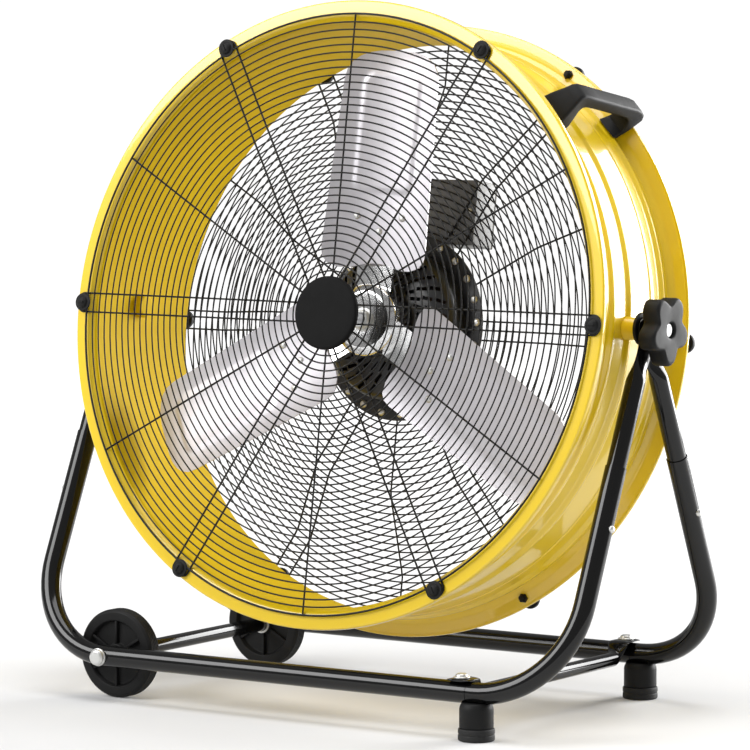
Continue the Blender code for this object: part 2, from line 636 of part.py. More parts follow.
# Rotor --------------------------------------------------------------------------------------
def blade_point(degrees, radius, shift, lift):
    """A point of a pitched, cambered blade: shift is along its chord and lift off its surface."""
    turn = math.radians(degrees)
    ahead = Vector((-math.sin(turn), 0.0, math.cos(turn)))
    spine = Vector((math.cos(turn), 0.0, math.sin(turn)))
    chord = ahead * math.cos(BLADE_PITCH) + Vector((0.0, math.sin(BLADE_PITCH), 0.0))
    camber = BLADE_CAMBER * (1.0 - (shift / 0.057) ** 2)
    reach = math.sqrt(radius ** 2 - (shift * math.cos(BLADE_PITCH)) ** 2)
    return spine * reach + chord * shift + Vector((0.0, BLADE_Y + camber + lift, 0.0))


def blade_plate(degrees, stations, thickness, lift, columns=6):
    """Loft a thin plate through (radius, half chord) stations."""
    rings = []
    for radius, half in stations:
        shifts = [half * (2.0 * step / columns - 1.0) for step in range(columns + 1)]
        front = [blade_point(degrees, radius, shift, lift - thickness / 2) for shift in shifts]
        back = [blade_point(degrees, radius, shift, lift + thickness / 2) for shift in shifts]
        rings.append(front + back[::-1])
    return loft(rings)


def make_rotor(materials, rotor):
    hub_front = -0.020
    hub_rear = 0.0125
    shaft = [(0.0, hub_front - 0.008), (SHAFT_RADIUS, hub_front - 0.008),
             (SHAFT_RADIUS, 0.040), (0.0490, 0.040), (0.0490, 0.075), (SHAFT_RADIUS, 0.075),
             (SHAFT_RADIUS, 0.0935), (0.0, 0.0935)]
    solid("rotor_shaft", turned(shaft, 16), materials["steel"], rotor)
    bore = SHAFT_RADIUS + GAP
    body = [(bore, hub_front), (0.030, hub_front), (0.038, hub_front + 0.005), (0.038, hub_rear),
            (bore, hub_rear)]
    hub = solid("blade_hub", turned(body, 24, ring=True), materials["bright"], rotor)
    nut = [(bore, hub_front - 0.0068), (0.0085, hub_front - 0.0068), (0.0095, hub_front - 0.0058),
           (0.0095, hub_front - GAP), (bore, hub_front - GAP)]
    solid("hub_nut", turned(nut, 12, ring=True), materials["bright"], rotor)
    outline = [(0.062, 0.026), (0.068, 0.040), (0.078, 0.053), (0.094, 0.0595), (0.180, 0.0565),
               (0.258, 0.0535), (0.272, 0.049), (0.280, 0.040), (BLADE_TIP, 0.026)]
    arm = [(0.030, 0.020), (0.080, 0.020), (0.112, 0.016), (0.118, 0.010)]
    for number, degrees in enumerate(BLADE_ANGLES, start=1):
        solid(f"blade_{number}", blade_plate(degrees, outline, BLADE_SHEET, 0.0),
              materials["blade"], rotor, smooth=30.0)
        spider = blade_plate(degrees, arm, 0.0025, 0.0026, columns=2)
        boolean(hub, helper(f"spider_arm_{number}", spider, rotor), "UNION")


def main():
    clear_scene()
    materials = make_materials()
    tilt = empty("tilt_axis", (0.0, 0.0, PIVOT_HEIGHT), rotation=(-REST_TILT, 0.0, 0.0))
    rotor = empty("rotor_axis", (0.0, 0.0, -AXIS_DROP), tilt)
    drum = empty("drum_axis", (0.0, 0.0, -AXIS_DROP), tilt)
    make_leg_frames(materials)
    make_cross_bar(materials)
    make_saddle_bolts(materials)
    make_feet(materials)
    make_axle(materials)
    make_wheels(materials)
    make_pivots(materials, tilt)
    make_knobs(materials, tilt)
    make_drum_shell(materials, drum)
    make_grilles(materials, drum)
    make_grille_bolts(materials, drum)
    make_handle(materials, drum)
    make_motor(materials, drum)
    make_controls(materials, drum)
    make_rotor(materials, rotor)
    bpy.context.view_layer.update()


main()
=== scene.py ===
"""Tilting drum fan: fine pieces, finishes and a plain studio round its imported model.

Metres, +Z up, the blowing side faces -Y. Pieces of the drum are drawn around the drum's own
axis, +Y to the rear, and PLACE carries them to where the tilted drum stands.
"""

import json
import math

import bmesh
import bpy
from bpy.props import FloatProperty, FloatVectorProperty, IntProperty, PointerProperty
from mathutils import Matrix, Vector


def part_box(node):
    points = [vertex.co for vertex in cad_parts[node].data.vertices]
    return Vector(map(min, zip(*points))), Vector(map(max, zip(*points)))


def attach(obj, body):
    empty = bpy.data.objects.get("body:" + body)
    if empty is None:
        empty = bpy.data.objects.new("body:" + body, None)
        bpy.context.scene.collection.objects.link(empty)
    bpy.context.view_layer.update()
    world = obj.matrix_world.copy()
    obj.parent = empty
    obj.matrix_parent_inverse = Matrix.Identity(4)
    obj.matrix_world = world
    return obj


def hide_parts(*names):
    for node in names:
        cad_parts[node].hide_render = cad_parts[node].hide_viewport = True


bl_info = {
    "name": "Tilting drum fan",
    "version": (1, 0, 0),
    "blender": (4, 5, 0),
    "location": "View3D > Sidebar > Drum fan",
    "description": "Makes the grilles, drum, motor, blades and stand of a tilting drum fan",
    "category": "Add Mesh",
}

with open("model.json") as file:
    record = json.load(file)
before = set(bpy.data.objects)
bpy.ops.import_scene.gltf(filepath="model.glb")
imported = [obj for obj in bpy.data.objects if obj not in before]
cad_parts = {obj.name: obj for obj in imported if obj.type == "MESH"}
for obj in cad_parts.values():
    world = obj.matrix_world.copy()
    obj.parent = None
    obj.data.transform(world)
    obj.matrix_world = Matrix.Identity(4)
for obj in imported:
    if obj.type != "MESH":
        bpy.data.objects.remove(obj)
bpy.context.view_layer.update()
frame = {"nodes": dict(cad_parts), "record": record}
JOINTS = {joint["name"]: joint for joint in frame["record"]["behaviour"]["joints"]}
PIVOT = Vector(JOINTS["drum_tilt"]["pos_m"])
SPIN_AXIS = Vector(JOINTS["fan_spin"]["axis"]).normalized()
SPIN_CENTRE = Vector(JOINTS["fan_spin"]["pos_m"])
ACROSS = Vector((1.0, 0.0, 0.0))
UP = Vector((0.0, 0.0, 1.0))


def axis_frame(centre, along):
    """Matrix that carries a piece drawn around +Y to an axis through centre."""
    up = ACROSS.cross(along)
    turn = Matrix((ACROSS, along, up)).transposed().to_4x4()
    return Matrix.Translation(centre) @ turn


PLACE = axis_frame(SPIN_CENTRE, SPIN_AXIS)
PIVOT_PLACE = axis_frame(PIVOT, SPIN_AXIS)
REST_TILT = math.atan2(-SPIN_AXIS.z, SPIN_AXIS.y)

# Drum, measured from its own axis
RIM_RADIUS = 0.3262
WALL_RADIUS = 0.3060
BOLT_CIRCLE = 0.317
SHEET = 0.0015
FRONT_FACE_Y = -0.082
REAR_FACE_Y = 0.0945
BEADS_Y = (-0.0305, 0.0030, 0.0715)
BEAD_HEIGHT = 0.003
HANDLE_ANGLE = 44.4
GRILLE_RADIUS = 0.3117          # middle of each grille's outer ring
GRILLE_LIFT = 0.0030            # front grille's spokes stand this far off the flange
DISH = (0.178, 0.262, 0.0365)   # where the rear dish starts and ends to slope, and its depth

# Stand
BOTTOM_Y = (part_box("foot_cap_rear")[0].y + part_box("foot_cap_rear")[1].y) / 2
WHEEL = Vector(JOINTS["wheel_rear_spin"]["pos_m"])
BOTTOM_Z = WHEEL.z
SPLAY = math.atan2(BOTTOM_Y, PIVOT.z - BOTTOM_Z)
BOTTOM_RUN = math.hypot(BOTTOM_Y, PIVOT.z - BOTTOM_Z)
LEG_X = 0.330
BEND_RADIUS = 0.100
SEAM_RUN = 0.148
TUBE_RADIUS = 0.011
UPPER_RADIUS = 0.010
FOOT_X = 0.230
BOTTOM_SEAM_X = 0.2225
CROSS_BAR_X = 0.2125
LUG_HALF = 0.002                # half thickness of a flattened leg end
FOOT_RADIUS = 0.01725
CAP_TOP = 0.0125
GAP = 0.0003
KNOB_FACE_X = 0.358
STEEL_BORE = 0.0063             # bore round the pivot studs and the rotor shaft
ENDS = ((-1, "front"), (1, "rear"))
SIDES = ((-1, "left"), (1, "right"))


# Sizes and colours a user may change -----------------------------------------------------------
class FanSizes(bpy.types.PropertyGroup):
    """Sizes of the fine pieces."""

    ring_pitch: FloatProperty(name="Ring pitch", description="Distance between grille rings",
                              default=0.00785, unit="LENGTH")
    wire_radius: FloatProperty(name="Ring wire radius", description="Half the ring wire's thickness",
                               default=0.00085, unit="LENGTH")
    spoke_radius: FloatProperty(name="Spoke wire radius", description="Half a spoke's thickness",
                                default=0.00105, unit="LENGTH")
    edge_radius: FloatProperty(name="Edge wire radius", description="Half the outer ring's thickness",
                               default=0.00115, unit="LENGTH")
    hairpin_half: FloatProperty(name="Hairpin half width", description="Half the gap of a wire pair",
                                default=0.0100, unit="LENGTH")
    grille_steps: IntProperty(name="Grille steps", description="Segments in a grille ring",
                              default=144)
    drum_steps: IntProperty(name="Drum steps", description="Segments round the drum", default=192)
    panel_height: FloatProperty(name="Panel height", description="Rise of the panel on a blade",
                                default=0.0010, unit="LENGTH")
    wheel_ribs: IntProperty(name="Wheel ribs", description="Ribs on each face of a wheel", default=6)


class FanColours(bpy.types.PropertyGroup):
    """Base colours of the finishes."""

    drum: FloatVectorProperty(name="Drum enamel", description="Colour of the drum", size=3,
                              default=(0.820, 0.565, 0.008), subtype="COLOR")
    tube: FloatVectorProperty(name="Tube enamel", description="Colour of the stand", size=3,
                              default=(0.003, 0.003, 0.003), subtype="COLOR")
    plastic: FloatVectorProperty(name="Plastic", description="Colour of knobs and handle", size=3,
                                 default=(0.009, 0.009, 0.009), subtype="COLOR")
    blade: FloatVectorProperty(name="Blade aluminium", description="Colour of the blades", size=3,
                               default=(0.620, 0.600, 0.635), subtype="COLOR")
    box: FloatVectorProperty(name="Switch box paint", description="Colour of the switch box", size=3,
                             default=(0.170, 0.170, 0.167), subtype="COLOR")
    floor: FloatVectorProperty(name="Floor", description="Colour of the studio floor", size=3,
                               default=(0.650, 0.650, 0.650), subtype="COLOR")


# Finishes --------------------------------------------------------------------------------------
# Each finish by its name
FINISHES = {}


def noise(nodes, links, place, scale, detail):
    """Value of a noise texture at a place."""
    texture = nodes.new("ShaderNodeTexNoise")
    texture.inputs["Scale"].default_value = scale
    texture.inputs["Detail"].default_value = detail
    links.new(place, texture.inputs["Vector"])
    return texture.outputs["Fac"]


def finish(name, colour, roughness, metallic=0.0, grain=(900.0, 0.00005, 0.25),
           mottle=(30.0, 0.85), spread=0.08, coat=0.0, stretch=(1.0, 1.0, 1.0), gleam=0.5):
    """A finish with fine grain in its surface, slow colour change and uneven gloss."""
    material = bpy.data.materials.new(name)
    material.use_nodes = True
    nodes = material.node_tree.nodes
    links = material.node_tree.links
    shader = nodes["Principled BSDF"]
    shader.inputs["Metallic"].default_value = metallic
    shader.inputs["Specular IOR Level"].default_value = gleam
    shader.inputs["Coat Weight"].default_value = coat
    shader.inputs["Coat Roughness"].default_value = 0.04
    where = nodes.new("ShaderNodeTexCoord")
    mapping = nodes.new("ShaderNodeMapping")
    mapping.inputs["Scale"].default_value = stretch
    links.new(where.outputs["Object"], mapping.inputs["Vector"])
    place = mapping.outputs["Vector"]
    bump = nodes.new("ShaderNodeBump")
    bump.inputs["Strength"].default_value = grain[2]
    bump.inputs["Distance"].default_value = grain[1]
    links.new(noise(nodes, links, place, grain[0], 3.0), bump.inputs["Height"])
    links.new(bump.outputs["Normal"], shader.inputs["Normal"])
    tint = nodes.new("ShaderNodeMix")
    tint.data_type = "RGBA"
    for socket in tint.inputs:
        if socket.type == "RGBA" and socket.name == "A":
            socket.default_value = (*colour, 1.0)
        if socket.type == "RGBA" and socket.name == "B":
            socket.default_value = (*(channel * mottle[1] for channel in colour), 1.0)
    links.new(noise(nodes, links, place, mottle[0], 4.0), tint.inputs["Factor"])
    links.new([out for out in tint.outputs if out.type == "RGBA"][0], shader.inputs["Base Color"])
    gloss = nodes.new("ShaderNodeMapRange")
    gloss.inputs["To Min"].default_value = max(roughness - spread, 0.0)
    gloss.inputs["To Max"].default_value = roughness + spread
    links.new(noise(nodes, links, place, mottle[0] * 3.0, 5.0), gloss.inputs["Value"])
    links.new(gloss.outputs["Result"], shader.inputs["Roughness"])
    FINISHES[name] = material
    return material


def make_finishes(colours):
    finish("drum_enamel", colours.drum, 0.30, grain=(160.0, 0.0001, 0.03), mottle=(5.0, 0.97),
           spread=0.03, coat=0.9)
    # The drum's inside is the same enamel painted darker and deeper yellow: painted shade inside the
    # drum.
    inside = tuple(channel * share for channel, share in zip(colours.drum, (0.80, 0.78, 0.2)))
    finish("drum_enamel_inside", inside, 0.55, grain=(160.0, 0.0001, 0.03), mottle=(5.0, 0.95),
           spread=0.04, gleam=0.06)
    finish("tube_enamel", colours.tube, 0.11, grain=(300.0, 0.0001, 0.05), mottle=(20.0, 0.6),
           spread=0.03, coat=0.1, gleam=0.35)
    finish("wire_coat", (0.002, 0.002, 0.002), 0.45, grain=(900.0, 0.00005, 0.1), gleam=0.3)
    finish("moulded_plastic", colours.plastic, 0.55, grain=(700.0, 0.0002, 0.20),
           mottle=(40.0, 0.75), gleam=0.2)
    finish("badge_plastic", (0.008, 0.008, 0.008), 0.70, grain=(900.0, 0.0001, 0.2), gleam=0.1)
    finish("black_rubber", (0.011, 0.011, 0.011), 0.72, grain=(700.0, 0.0004, 0.5),
           mottle=(60.0, 0.6))
    finish("motor_enamel", (0.014, 0.014, 0.015), 0.33, grain=(650.0, 0.0003, 0.35),
           mottle=(35.0, 0.7), spread=0.10)
    finish("box_enamel", colours.box, 0.50, grain=(800.0, 0.0003, 0.4), mottle=(18.0, 0.82))
    finish("blade_sheet", colours.blade, 0.36, 0.55, grain=(180.0, 0.0001, 0.25),
           mottle=(14.0, 0.90), spread=0.10, stretch=(1.0, 0.3, 1.0))
    finish("zinc_plate", (0.72, 0.72, 0.70), 0.34, 0.75, grain=(400.0, 0.0001, 0.10),
           mottle=(120.0, 0.85))
    finish("polished_hub", (0.90, 0.90, 0.90), 0.14, 1.0, grain=(200.0, 0.00002, 0.01),
           mottle=(40.0, 0.96), spread=0.015)
    finish("turned_steel", (0.45, 0.45, 0.46), 0.32, 1.0, grain=(900.0, 0.0001, 0.3))
    finish("winding_copper", (0.045, 0.018, 0.008), 0.55, 0.4, grain=(500.0, 0.0006, 0.6))


# Mesh helpers ----------------------------------------------------------------------------------
def rounded(points, radius, steps=4, closed=False):
    """Replace each corner of an outline by a short curve, as a rolled or moulded edge has."""
    result = []
    count = len(points)
    for number, point in enumerate(points):
        here = Vector(point)
        if not closed and number in (0, count - 1):
            result.append(tuple(here))
            continue
        before = Vector(points[number - 1])
        after = Vector(points[(number + 1) % count])
        reach = min(radius, 0.45 * (here - before).length, 0.45 * (after - here).length)
        start = here + (before - here).normalized() * reach
        end = here + (after - here).normalized() * reach
        for step in range(steps + 1):
            share = step / steps
            result.append(tuple(start * (1 - share) ** 2 + here * (2 * share * (1 - share))
                                + end * share ** 2))
    return result


def turned(profile, steps=48, axis="Y", closed=False, radius=0.0006, corner_steps=3):
    """Spin an outline of (radius, along) points about an axis, with its corners rounded."""
    outline = rounded(profile, radius, corner_steps, closed)
    bm = bmesh.new()
    points = [bm.verts.new((out, along, 0.0)) for out, along in outline]
    pairs = list(zip(points, points[1:])) + ([(points[-1], points[0])] if closed else [])
    edges = [bm.edges.new(pair) for pair in pairs]
    bmesh.ops.spin(bm, geom=points + edges, cent=(0, 0, 0), axis=(0, 1, 0), dvec=(0, 0, 0),
                   angle=math.tau, steps=steps, use_merge=True)
    bmesh.ops.remove_doubles(bm, verts=bm.verts, dist=1e-6)
    turns = {"X": Matrix.Rotation(-math.pi / 2, 4, "Z"), "Z": Matrix.Rotation(math.pi / 2, 4, "X")}
    if axis in turns:
        bmesh.ops.transform(bm, matrix=turns[axis], verts=bm.verts)
    return bm


def loft(rings, closed=False):
    """Skin rings of points in order. Ends are capped unless the last ring meets the first."""
    bm = bmesh.new()
    loops = [[bm.verts.new(point) for point in ring] for ring in rings]
    pairs = zip(loops, loops[1:] + loops[:1]) if closed else zip(loops, loops[1:])
    for low, high in pairs:
        for a, b, c, d in zip(low, low[1:] + low[:1], high[1:] + high[:1], high):
            bm.faces.new((a, b, c, d))
    if not closed:
        bm.faces.new(loops[0])
        bm.faces.new(loops[-1])
    return bm


def oval(centre, across, up, half_across, half_up, sides=32):
    """Ring of points round an ellipse."""
    turns = [math.tau * step / sides for step in range(sides)]
    return [centre + half_across * math.cos(turn) * across + half_up * math.sin(turn) * up
            for turn in turns]


def block(low, high, bevel=0.0, steps=2):
    """A box between two corners, its edges rounded."""
    bm = bmesh.new()
    bmesh.ops.create_cube(bm, size=1.0)
    bmesh.ops.scale(bm, vec=[b - a for a, b in zip(low, high)], verts=bm.verts)
    bmesh.ops.translate(bm, vec=[(a + b) / 2 for a, b in zip(low, high)], verts=bm.verts)
    if bevel:
        bmesh.ops.bevel(bm, geom=bm.edges, offset=bevel, segments=steps, profile=0.5,
                        affect="EDGES")
    return bm


def joined(*parts):
    """One bmesh that holds all the given ones."""
    result = bmesh.new()
    for part in parts:
        carrier = bpy.data.meshes.new("carrier")
        bmesh.ops.recalc_face_normals(part, faces=part.faces)
        part.to_mesh(carrier)
        part.free()
        result.from_mesh(carrier)
        bpy.data.meshes.remove(carrier)
    return result


def moved(bm, offset=(0.0, 0.0, 0.0), turn=None):
    """The same bmesh, turned and then shifted."""
    if turn is not None:
        bmesh.ops.transform(bm, matrix=turn, verts=bm.verts)
    bmesh.ops.translate(bm, vec=offset, verts=bm.verts)
    return bm


def eased(share):
    """Slow at both ends, for 0 to 1."""
    return share * share * (3.0 - 2.0 * share)


def polar(radius, degrees, along=0.0):
    """A point at an angle up from +X about the Y axis."""
    turn = math.radians(degrees)
    return Vector((radius * math.cos(turn), along, radius * math.sin(turn)))


def seed_mesh(bm):
    """A mesh from a bmesh, which is freed."""
    bmesh.ops.recalc_face_normals(bm, faces=bm.faces)
    mesh = bpy.data.meshes.new("seed")
    bm.to_mesh(mesh)
    bm.free()
    return mesh


def line_mesh(lines):
    """Edges through each list of points."""
    bm = bmesh.new()
    for line in lines:
        verts = [bm.verts.new(point) for point in line]
        for pair in zip(verts, verts[1:]):
            bm.edges.new(pair)
    mesh = bpy.data.meshes.new("lines")
    bm.to_mesh(mesh)
    bm.free()
    return mesh


def add_piece(name, source, material, body, replaced=(), place=PLACE, sharp=35.0):
    """Put a shape into the scene as a piece that rides on a body."""
    mesh = source
    if isinstance(source, bmesh.types.BMesh):
        bmesh.ops.remove_doubles(source, verts=source.verts, dist=1e-7)
        bmesh.ops.recalc_face_normals(source, faces=source.faces)
        mesh = bpy.data.meshes.new(name)
        source.to_mesh(mesh)
        source.free()
    mesh.name = name
    if place is not None:
        mesh.transform(place)
    mesh.shade_smooth()
    mesh.set_sharp_from_angle(angle=math.radians(sharp))
    mesh.materials.clear()
    mesh.materials.append(FINISHES[material])
    obj = bpy.data.objects.new(name, mesh)
    bpy.context.scene.collection.objects.link(obj)
    if replaced:
        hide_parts(*replaced)
    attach(obj, body)
    return obj


# Geometry node trees ---------------------------------------------------------------------------
class Graph:
    """A geometry node tree with named inputs, built one node at a time."""

    def __init__(self, name, sockets):
        self.tree = bpy.data.node_groups.new(name, "GeometryNodeTree")
        face = self.tree.interface
        face.new_socket("Geometry", in_out="OUTPUT", socket_type="NodeSocketGeometry")
        face.new_socket("Geometry", in_out="INPUT", socket_type="NodeSocketGeometry")
        for label, kind in sockets:
            face.new_socket(label, in_out="INPUT", socket_type="NodeSocket" + kind)
        face.new_socket("Material", in_out="INPUT", socket_type="NodeSocketMaterial")
        self.given = self.tree.nodes.new("NodeGroupInput").outputs

    def add(self, kind, inputs, output=0, **settings):
        node = self.tree.nodes.new(kind)
        for key, value in settings.items():
            setattr(node, key, value)
        for key, value in inputs.items():
            if isinstance(value, bpy.types.NodeSocket):
                self.tree.links.new(value, node.inputs[key])
            else:
                node.inputs[key].default_value = value
        return node.outputs[output]

    def math(self, operation, first, second=0.0):
        return self.add("ShaderNodeMath", {0: first, 1: second}, operation=operation)

    def join(self, *shapes):
        node = self.tree.nodes.new("GeometryNodeJoinGeometry")
        for shape in shapes:
            self.tree.links.new(shape, node.inputs[0])
        return node.outputs[0]

    def close(self, shape):
        """End the tree in Realize Instances and Set Material."""
        real = self.add("GeometryNodeRealizeInstances", {"Geometry": shape})
        painted = self.add("GeometryNodeSetMaterial",
                           {"Geometry": real, "Material": self.given["Material"]})
        out = self.tree.nodes.new("NodeGroupOutput")
        self.tree.links.new(painted, out.inputs[0])
        return self.tree

    def fan_out(self, shape, count, start, degrees=360.0):
        """Copies of a shape turned about the Y axis, as instances."""
        index = self.add("GeometryNodeInputIndex", {})
        step = self.math("DIVIDE", math.radians(degrees), count)
        turn = self.math("ADD", self.math("MULTIPLY", index, step), start)
        spin = self.add("ShaderNodeCombineXYZ", {"Y": self.math("MULTIPLY", turn, -1.0)})
        points = self.add("GeometryNodePoints", {"Count": count})
        rotation = self.add("FunctionNodeEulerToRotation", {0: spin})
        return self.add("GeometryNodeInstanceOnPoints",
                        {"Points": points, "Instance": shape, "Rotation": rotation})


def copies_tree():
    """Repeats its geometry round the axis."""
    graph = Graph("copies_round_axis", [("Count", "Int"), ("Start Angle", "Float")])
    given = graph.given
    return graph.close(graph.fan_out(given["Geometry"], given["Count"], given["Start Angle"]))


def tube_tree():
    """Round bar along each line of its geometry, with closed ends."""
    graph = Graph("tube_on_path", [("Radius", "Float"), ("Sides", "Int")])
    given = graph.given
    path = graph.add("GeometryNodeMeshToCurve", {"Mesh": given["Geometry"]})
    ring = graph.add("GeometryNodeCurvePrimitiveCircle",
                     {"Resolution": given["Sides"], "Radius": given["Radius"]})
    return graph.close(graph.add("GeometryNodeCurveToMesh",
                                 {"Curve": path, "Profile Curve": ring, "Fill Caps": True}))


def grille_tree():
    """Concentric wire rings on radial wires, pushed into a dish. Its geometry is one sector's
    radial wires as lines."""
    graph = Graph("wire_grille", [
        ("Rings", "Int"), ("First Radius", "Float"), ("Pitch", "Float"), ("Steps", "Int"),
        ("Wire Radius", "Float"), ("Spoke Radius", "Float"), ("Edge Ring", "Float"),
        ("Edge Wire Radius", "Float"), ("Sectors", "Int"), ("Spoke Side", "Float"),
        ("Dish Start", "Float"), ("Dish End", "Float"), ("Dish Depth", "Float")])
    given = graph.given

    def dished(curves, lift=0.0):
        place = graph.add("GeometryNodeInputPosition", {})
        split = graph.tree.nodes.new("ShaderNodeSeparateXYZ")
        graph.tree.links.new(place, split.inputs[0])
        east = graph.math("POWER", split.outputs["X"], 2.0)
        north = graph.math("POWER", split.outputs["Z"], 2.0)
        radius = graph.math("SQRT", graph.math("ADD", east, north))
        sink = graph.add("ShaderNodeMapRange", {
            "Value": radius, "From Min": given["Dish Start"], "From Max": given["Dish End"],
            "To Min": graph.math("MULTIPLY", given["Dish Depth"], -1.0), "To Max": 0.0})
        shift = graph.add("ShaderNodeCombineXYZ", {"Y": graph.math("ADD", sink, lift)})
        return graph.add("GeometryNodeSetPosition", {"Geometry": curves, "Offset": shift})

    def swept(curves, radius, sides):
        ring = graph.add("GeometryNodeCurvePrimitiveCircle", {"Resolution": sides, "Radius": radius})
        return graph.add("GeometryNodeCurveToMesh",
                         {"Curve": curves, "Profile Curve": ring, "Fill Caps": True})

    flat = graph.add("GeometryNodeCurvePrimitiveCircle",
                     {"Resolution": given["Steps"], "Radius": 1.0})
    upright = graph.add("GeometryNodeTransform",
                        {"Geometry": flat, "Rotation": (math.pi / 2, 0.0, 0.0)})
    index = graph.add("GeometryNodeInputIndex", {})
    size = graph.math("ADD", graph.math("MULTIPLY", index, given["Pitch"]), given["First Radius"])
    points = graph.add("GeometryNodePoints", {"Count": given["Rings"]})
    rings = graph.add("GeometryNodeInstanceOnPoints",
                      {"Points": points, "Instance": upright, "Scale": size})
    rings = graph.add("GeometryNodeRealizeInstances", {"Geometry": rings})
    edge = graph.add("GeometryNodeTransform",
                     {"Geometry": upright, "Scale": graph.add(
                         "ShaderNodeCombineXYZ", {"X": given["Edge Ring"], "Y": given["Edge Ring"],
                                                  "Z": given["Edge Ring"]})})
    spokes = graph.add("GeometryNodeMeshToCurve", {"Mesh": given["Geometry"]})
    spokes = graph.fan_out(spokes, given["Sectors"], 0.0)
    spokes = graph.add("GeometryNodeRealizeInstances", {"Geometry": spokes})
    stack = graph.math("MULTIPLY", graph.math("ADD", given["Wire Radius"], given["Spoke Radius"]),
                       graph.math("MULTIPLY", given["Spoke Side"], 0.92))
    return graph.close(graph.join(
        swept(dished(rings), given["Wire Radius"], 6),
        swept(dished(edge), given["Edge Wire Radius"], 8),
        swept(dished(spokes, stack), given["Spoke Radius"], 6)))


TREES = {}


def grow(seed, tree, material, **values):
    """Run a geometry node tree on a seed mesh and return what it makes as a plain mesh."""
    host = bpy.data.objects.new("seed", seed)
    bpy.context.scene.collection.objects.link(host)
    modifier = host.modifiers.new("grow", "NODES")
    modifier.node_group = TREES[tree]
    values["material"] = FINISHES[material]
    for item in TREES[tree].interface.items_tree:
        key = item.name.lower().replace(" ", "_")
        if item.item_type == "SOCKET" and item.in_out == "INPUT" and key in values:
            modifier[item.identifier] = values[key]
    graph = bpy.context.evaluated_depsgraph_get()
    mesh = bpy.data.meshes.new_from_object(host.evaluated_get(graph))
    bpy.data.objects.remove(host)
    return mesh


def merged(*meshes):
    """One mesh from several, which are freed."""
    bm = bmesh.new()
    for mesh in meshes:
        bm.from_mesh(mesh)
        bpy.data.meshes.remove(mesh)
    result = bpy.data.meshes.new("merged")
    bm.to_mesh(result)
    bm.free()
    return result


def round_copies(seed, count, start_degrees, material):
    """A mesh repeated round the Y axis."""
    return grow(seed, "copies", material, count=count, start_angle=math.radians(start_degrees))


# Drum ------------------------------------------------------------------------------------------
def bead_points(middle, half_top=0.0038, steps=10):
    """A rounded rib pressed out of the drum wall."""
    foot = half_top + 0.0042
    result = [(WALL_RADIUS, middle - foot * 1.25)]
    for step in range(steps + 1):
        share = 2.0 * step / steps - 1.0
        rise = BEAD_HEIGHT * 0.5 * (1.0 + math.cos(math.pi * share))
        result.append((WALL_RADIUS + rise, middle + foot * share))
    return result + [(WALL_RADIUS, middle + foot * 1.25)]


def drum_outline():
    """Outline of the rolled sheet: flange, beads, flare and both turned edges."""
    inner = WALL_RADIUS - SHEET
    lip = RIM_RADIUS - SHEET
    outside = [(lip, FRONT_FACE_Y + 0.0070), (lip, FRONT_FACE_Y + SHEET),
               (WALL_RADIUS + 0.0055, FRONT_FACE_Y + SHEET), (WALL_RADIUS, FRONT_FACE_Y + 0.0080)]
    outside = rounded(outside, 0.003, 4) + [(WALL_RADIUS, FRONT_FACE_Y + 0.0115)]
    for middle in BEADS_Y[:2]:
        outside += bead_points(middle)
    groove = 0.047
    for shift, depth in ((-0.003, 0.0), (-0.0012, 0.0), (0.0, 0.0006), (0.0012, 0.0), (0.003, 0.0)):
        outside.append((WALL_RADIUS - depth, groove + shift))
    outside += bead_points(BEADS_Y[2])
    flare = [(WALL_RADIUS, REAR_FACE_Y - 0.0115), (WALL_RADIUS + 0.006, REAR_FACE_Y - 0.0075),
             (lip - 0.001, REAR_FACE_Y - 0.0045), (RIM_RADIUS, REAR_FACE_Y - 0.0045),
             (RIM_RADIUS, REAR_FACE_Y), (WALL_RADIUS + 0.005, REAR_FACE_Y),
             (inner, REAR_FACE_Y - 0.0065), (inner, REAR_FACE_Y - 0.0095),
             (inner, FRONT_FACE_Y + 0.0095), (inner, FRONT_FACE_Y + 0.0065),
             (WALL_RADIUS + 0.004, FRONT_FACE_Y), (RIM_RADIUS, FRONT_FACE_Y),
             (RIM_RADIUS, FRONT_FACE_Y + 0.0070), (lip, FRONT_FACE_Y + 0.0070)]
    return outside + rounded(flare, 0.0022, 5)[:-1]


class FAN_OT_drum_shell(bpy.types.Operator):
    """Roll the drum: flanges, three beads and the rear flare."""

    bl_idname = "drum_fan.drum_shell"
    bl_label = "Drum shell"

    def execute(self, context):
        steps = context.scene.fan_sizes.drum_steps
        shell = turned(drum_outline(), steps, closed=True, radius=0.0, corner_steps=1)
        drum = add_piece("drum_sheet", shell, "drum_enamel", "drum", ["drum_shell"], sharp=50.0)
        # Faces inside the wall take the darker copy of the enamel: painted shade inside the drum.
        drum.data.materials.append(FINISHES["drum_enamel_inside"])
        to_drum = PLACE.inverted()
        for polygon in drum.data.polygons:
            centre = to_drum @ polygon.center
            if math.hypot(centre.x, centre.z) < WALL_RADIUS - SHEET / 2:
                polygon.material_index = 1
        return {"FINISHED"}


def radial_lines(start, half_pair, reach, pieces=16):
    """One sector of radial wires: a hairpin round the bolt and a single wire between bolts."""
    lines = []
    stops = [start + (BOLT_CIRCLE - start) * step / pieces for step in range(pieces + 1)]
    loop = []
    for step in range(1, 12):
        turn = math.radians(-90.0 + 180.0 * step / 12)
        loop.append(Vector((BOLT_CIRCLE + half_pair * 0.72 * math.cos(turn), 0.0,
                            half_pair * math.sin(turn))))
    out = [Vector((math.sqrt(max(stop ** 2 - half_pair ** 2, 0.0)), 0.0, -half_pair))
           for stop in stops]
    back = [Vector((point.x, 0.0, half_pair)) for point in out[::-1]]
    lines.append(out + loop + back)
    single = [start + (reach - start) * step / pieces for step in range(pieces + 1)]
    lines.append([polar(radius, 30.0) for radius in single])
    return lines


